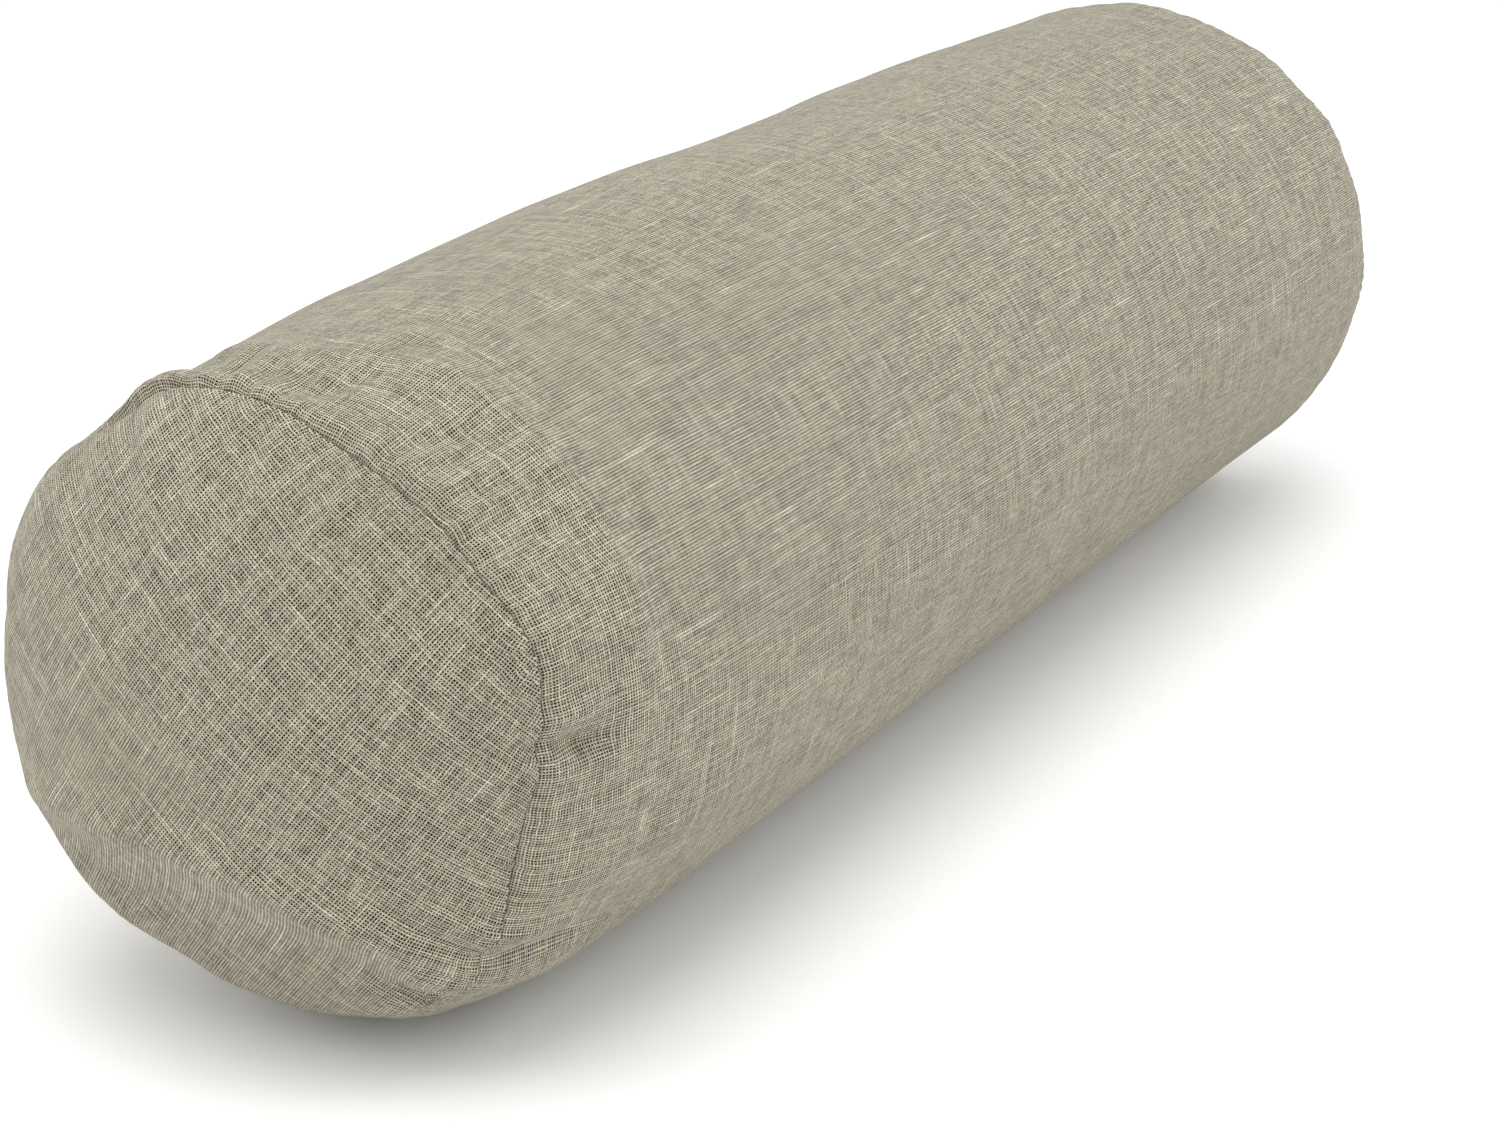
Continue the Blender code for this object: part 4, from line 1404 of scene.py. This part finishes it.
def thread_variation(m, along, index, seed):
    """Each thread's width along its length, how light it is, and where it swells into a pale slub."""
    wander = m.noise(m.combine(along * 120, index * 5.37, seed), 1.0, 2)
    shade = m.rise(m.noise(m.combine(along * 12, index * 2.93, seed + 2), 1.0, 1), 0.3, 0.7)
    fleck = m.rise(m.noise(m.combine(along * 700, index * 4.19, seed + 6), 1.0, 1), 0.3, 0.7)
    length = m.noise(m.combine(along * 34, index * 3.71, seed + 4), 1.0, 1)
    slub = m.rise(length, 0.66, 0.74)
    return 0.36 + 0.36 * m.rise(wander, 0.3, 0.7) + slub * 0.15, 0.4 * shade + 0.6 * fleck, slub


THREAD_STRAY = 0.5


def thread_profile(m, along, index, width):
    """The round top of a thread across its width: 1 on its centreline and 0 beyond its edges."""
    stray = m.noise(m.combine(index * 6.13, 0.5), 1.0, 1) - 0.5
    off = (along - index - 0.5 + THREAD_STRAY * stray) * 2.0 / width
    return m.math("SQRT", m.math("MAXIMUM", 1 - off * off, 0.0))


def crossing(m, along, index):
    """1 where a thread passes over the next crossing thread and -1 where it passes under."""
    return m.math("COSINE", (along - 0.5 + index) * pi)


# Each weave's gap colour is painted shade between and along its threads.
LINEN_WEAVE = Weave(
    pitch=0.0009, thread=(0.655, 0.60, 0.455), dull=(0.33, 0.30, 0.22), gap=(0.012, 0.01, 0.006),
    slub=(0.78, 0.73, 0.60), slub_share=0.5, drift=0.0011, relief=0.0004,
)
COTTON_WEAVE = Weave(
    pitch=0.0005, thread=(0.80, 0.78, 0.72), dull=(0.68, 0.66, 0.60), gap=(0.42, 0.40, 0.35),
    slub=(0.86, 0.84, 0.79), slub_share=0.3, drift=0.0008, relief=0.0001,
)
TAPE_WEAVE = Weave(
    pitch=0.0006, thread=(0.36, 0.33, 0.26), dull=(0.29, 0.265, 0.205), gap=(0.12, 0.105, 0.075),
    slub=(0.42, 0.385, 0.31), slub_share=0.2, drift=0.0003, relief=0.0002,
)


def thread_material(name, colour):
    """Twisted sewing thread."""
    m = Material(name, colour, 0.6, Sheen_Weight=0.3, Sheen_Roughness=0.4, Specular_IOR_Level=0.3)
    place = m.object_place()
    twist = m.noise(place, 3200, 2)
    lit, shaded = (tuple(share * channel for channel in colour) for share in (1.08, 0.6))
    m.colour(m.mix(m.rise(twist, 0.3, 0.7) * 0.5, lit, shaded))
    m.rough(0.5 + 0.3 * twist)
    m.bump(twist, 0.0001)
    return m.material


def wadding_material():
    """Loose white polyester fibre."""
    m = Material("fibre_wadding", (0.86, 0.86, 0.84), 0.95, Sheen_Weight=0.6, Sheen_Roughness=0.6)
    place = m.object_place()
    tufts = m.noise(place, 45, 5, 0.65)
    fibres = m.noise(place, 900, 3, 0.7)
    # The hollows between the tufts are painted darker: painted shade where the bump is low.
    m.colour(m.mix(m.rise(tufts, 0.3, 0.7), (0.74, 0.74, 0.72), (0.9, 0.9, 0.89)))
    m.rough(0.85 + 0.12 * fibres)
    m.bump(tufts + 0.15 * fibres, 0.004)
    return m.material


def foam_material():
    """Pale yellow open-cell foam."""
    m = Material("cut_foam", (0.80, 0.70, 0.45), 0.9, Specular_IOR_Level=0.15)
    place = m.object_place()
    cells = m.node("ShaderNodeTexVoronoi", {"Vector": place})
    cells.inputs["Scale"].default_value = 700
    pores = Wire(m, cells.outputs["Distance"])
    mottle = m.noise(place, 18, 4)
    # The pores are painted darker than the cell walls: painted shade in the hollows that the bump dents.
    m.colour(m.mix(m.rise(pores, 0.1, 0.6), (0.62, 0.50, 0.27), (0.84, 0.75, 0.50)))
    m.rough(0.85 + 0.1 * mottle)
    m.bump(pores + 0.5 * mottle, 0.0008)
    return m.material


def nylon_material():
    """Slightly translucent dyed monofilament."""
    m = Material("coil_nylon", (0.44, 0.40, 0.32), 0.32, Specular_IOR_Level=0.5)
    streaks = m.noise(m.object_place(), 1400, 2)
    m.colour(m.mix(m.rise(streaks, 0.3, 0.7), (0.38, 0.345, 0.27), (0.47, 0.43, 0.345)))
    m.rough(0.28 + 0.14 * streaks)
    m.bump(streaks, 0.00005)
    return m.material


def metal_material():
    """Brushed nickel, dulled along its worn places."""
    m = Material("slider_metal", (0.62, 0.60, 0.56), 0.34, Metallic=1.0)
    place = m.object_place()
    wear = m.noise(place, 160, 4)
    brushed = m.noise(place, 2500, 2)
    m.colour(m.mix(m.rise(wear, 0.35, 0.7), (0.55, 0.53, 0.49), (0.70, 0.68, 0.64)))
    m.rough(0.26 + 0.18 * wear + 0.06 * brushed)
    m.bump(brushed, 0.00003)
    return m.material


def give(made, material):
    """Puts a material in place of whatever an object had."""
    made.data.materials.clear()
    made.data.materials.append(material)


# ---------------------------------------------------------------- the scene

LINEN_CLOTH = woven("linen_weave", LINEN_WEAVE, 0.15, 0.85)
COTTON_CLOTH = woven("cotton_weave", COTTON_WEAVE, 0.15, 0.85)
TAPE_CLOTH = woven("tape_weave", TAPE_WEAVE, 0.1, 0.8)
LINEN_THREAD = thread_material("linen_sewing_thread", (0.33, 0.30, 0.23))
COTTON_THREAD = thread_material("cotton_sewing_thread", (0.80, 0.78, 0.72))
WADDING_FIBRE = wadding_material()
FOAM = foam_material()
NYLON = nylon_material()
METAL = metal_material()

# These CAD nodes are shown as they are, with a new material.
METAL_NODES = (
    "zipper_slider",
    "zipper_pull_tab",
    "zipper_top_stop_upper",
    "zipper_top_stop_lower",
    "zipper_bottom_stop",
)


def finish_piece(made, material, nodes, body="cushion"):
    """Gives a piece its material, hides the CAD nodes that it stands in for, and hangs it on the body that it
    rides on.
    """
    give(made, material)
    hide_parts(*nodes)
    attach(made, body)
    return made


def build_cover():
    finish_piece(make_tube(), LINEN_CLOTH, ["cover_body"])
    for end in ENDS:
        panel = make_panel(end, "linen_end_" + end.name, LINEN)
        finish_piece(panel, LINEN_CLOTH, ["cover_end_" + end.name])
        stitches = make_seam_stitches(end, "end_seam_stitches_" + end.name)
        finish_piece(stitches, LINEN_THREAD, ["cover_thread_" + end.name])
    spans = {"left": (LEFT.seam_x + 2, SLOT_FROM - 4), "right": (SLOT_TO + 4, RIGHT.seam_x - 2)}
    for name, (start, stop) in spans.items():
        stitches = make_side_stitches("side_seam_stitches_" + name, start, stop)
        finish_piece(stitches, LINEN_THREAD, ["side_thread_" + name])


def build_zipper():
    for name, side in (("upper", -1), ("lower", 1)):
        finish_piece(make_tape("woven_tape_" + name, side), TAPE_CLOTH, ["zipper_tape_" + name])
        finish_piece(make_coil("nylon_coil_" + name, side), NYLON, ["zipper_coil_" + name])
        stitches = make_topstitch("tape_topstitch_" + name, side)
        finish_piece(stitches, LINEN_THREAD, ["tape_thread_" + name])
    for name in ("bar_tack_left", "bar_tack_right"):
        finish_piece(make_bar_tack(name), LINEN_THREAD, [name])
    for name in METAL_NODES:
        give(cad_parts[name], METAL)


def build_filling():
    liner = make_layer_tube("cotton_tube", COTTON, LINER_DEPTH, LINER_CORNER, LINER_FLANGE)
    finish_piece(liner, COTTON_CLOTH, ["liner_body"])
    wadding = make_layer_tube("wadding_roll", WADDING, WADDING_DEPTH, WADDING_CORNER, 0)
    finish_piece(wadding, WADDING_FIBRE, ["wadding_wrap"])
    for end in ENDS:
        name = "cotton_end_" + end.name
        panel = make_panel(end, name, COTTON, LINER_DEPTH, LINER_CORNER, flange=LINER_FLANGE)
        finish_piece(panel, COTTON_CLOTH, ["liner_end_" + end.name])
        stitches = make_seam_stitches(end, "liner_seam_stitches_" + end.name, LINER_DEPTH, LINER_CORNER)
        finish_piece(stitches, COTTON_THREAD, ["liner_thread_" + end.name])
        disc = make_wadding_disc(end)
        finish_piece(disc, WADDING_FIBRE, ["wadding_disc_" + end.name])
    start, stop = LEFT.seam_x + LINER_CORNER + 2, RIGHT.seam_x - LINER_CORNER - 2
    seam = (LINER_SEAM_ANGLE, LINER_DEPTH, LINER_CORNER)
    side = make_side_stitches("liner_side_stitches", start, stop, *seam)
    finish_piece(side, COTTON_THREAD, ["liner_side_thread"])
    finish_piece(make_core(), FOAM, ["foam_core"])


def make_wadding_disc(end, steps=60):
    """The round of wadding over one end of the core."""
    share, angle, _ = disc_grid(steps)
    share = 1 - (1 - share) ** 1.5
    points = panel_point(end, share * 0.995, angle, WADDING_DEPTH, WADDING_CORNER)
    made = new_object("wadding_round_" + end.name, points, grid_faces(steps + 1, steps + 1, False))
    face_along(made, end.side)
    thicken(made, WADDING)
    return made


make_camera()
make_studio()
CREASES.update(simulated_creases())
build_cover()
build_zipper()
build_filling()
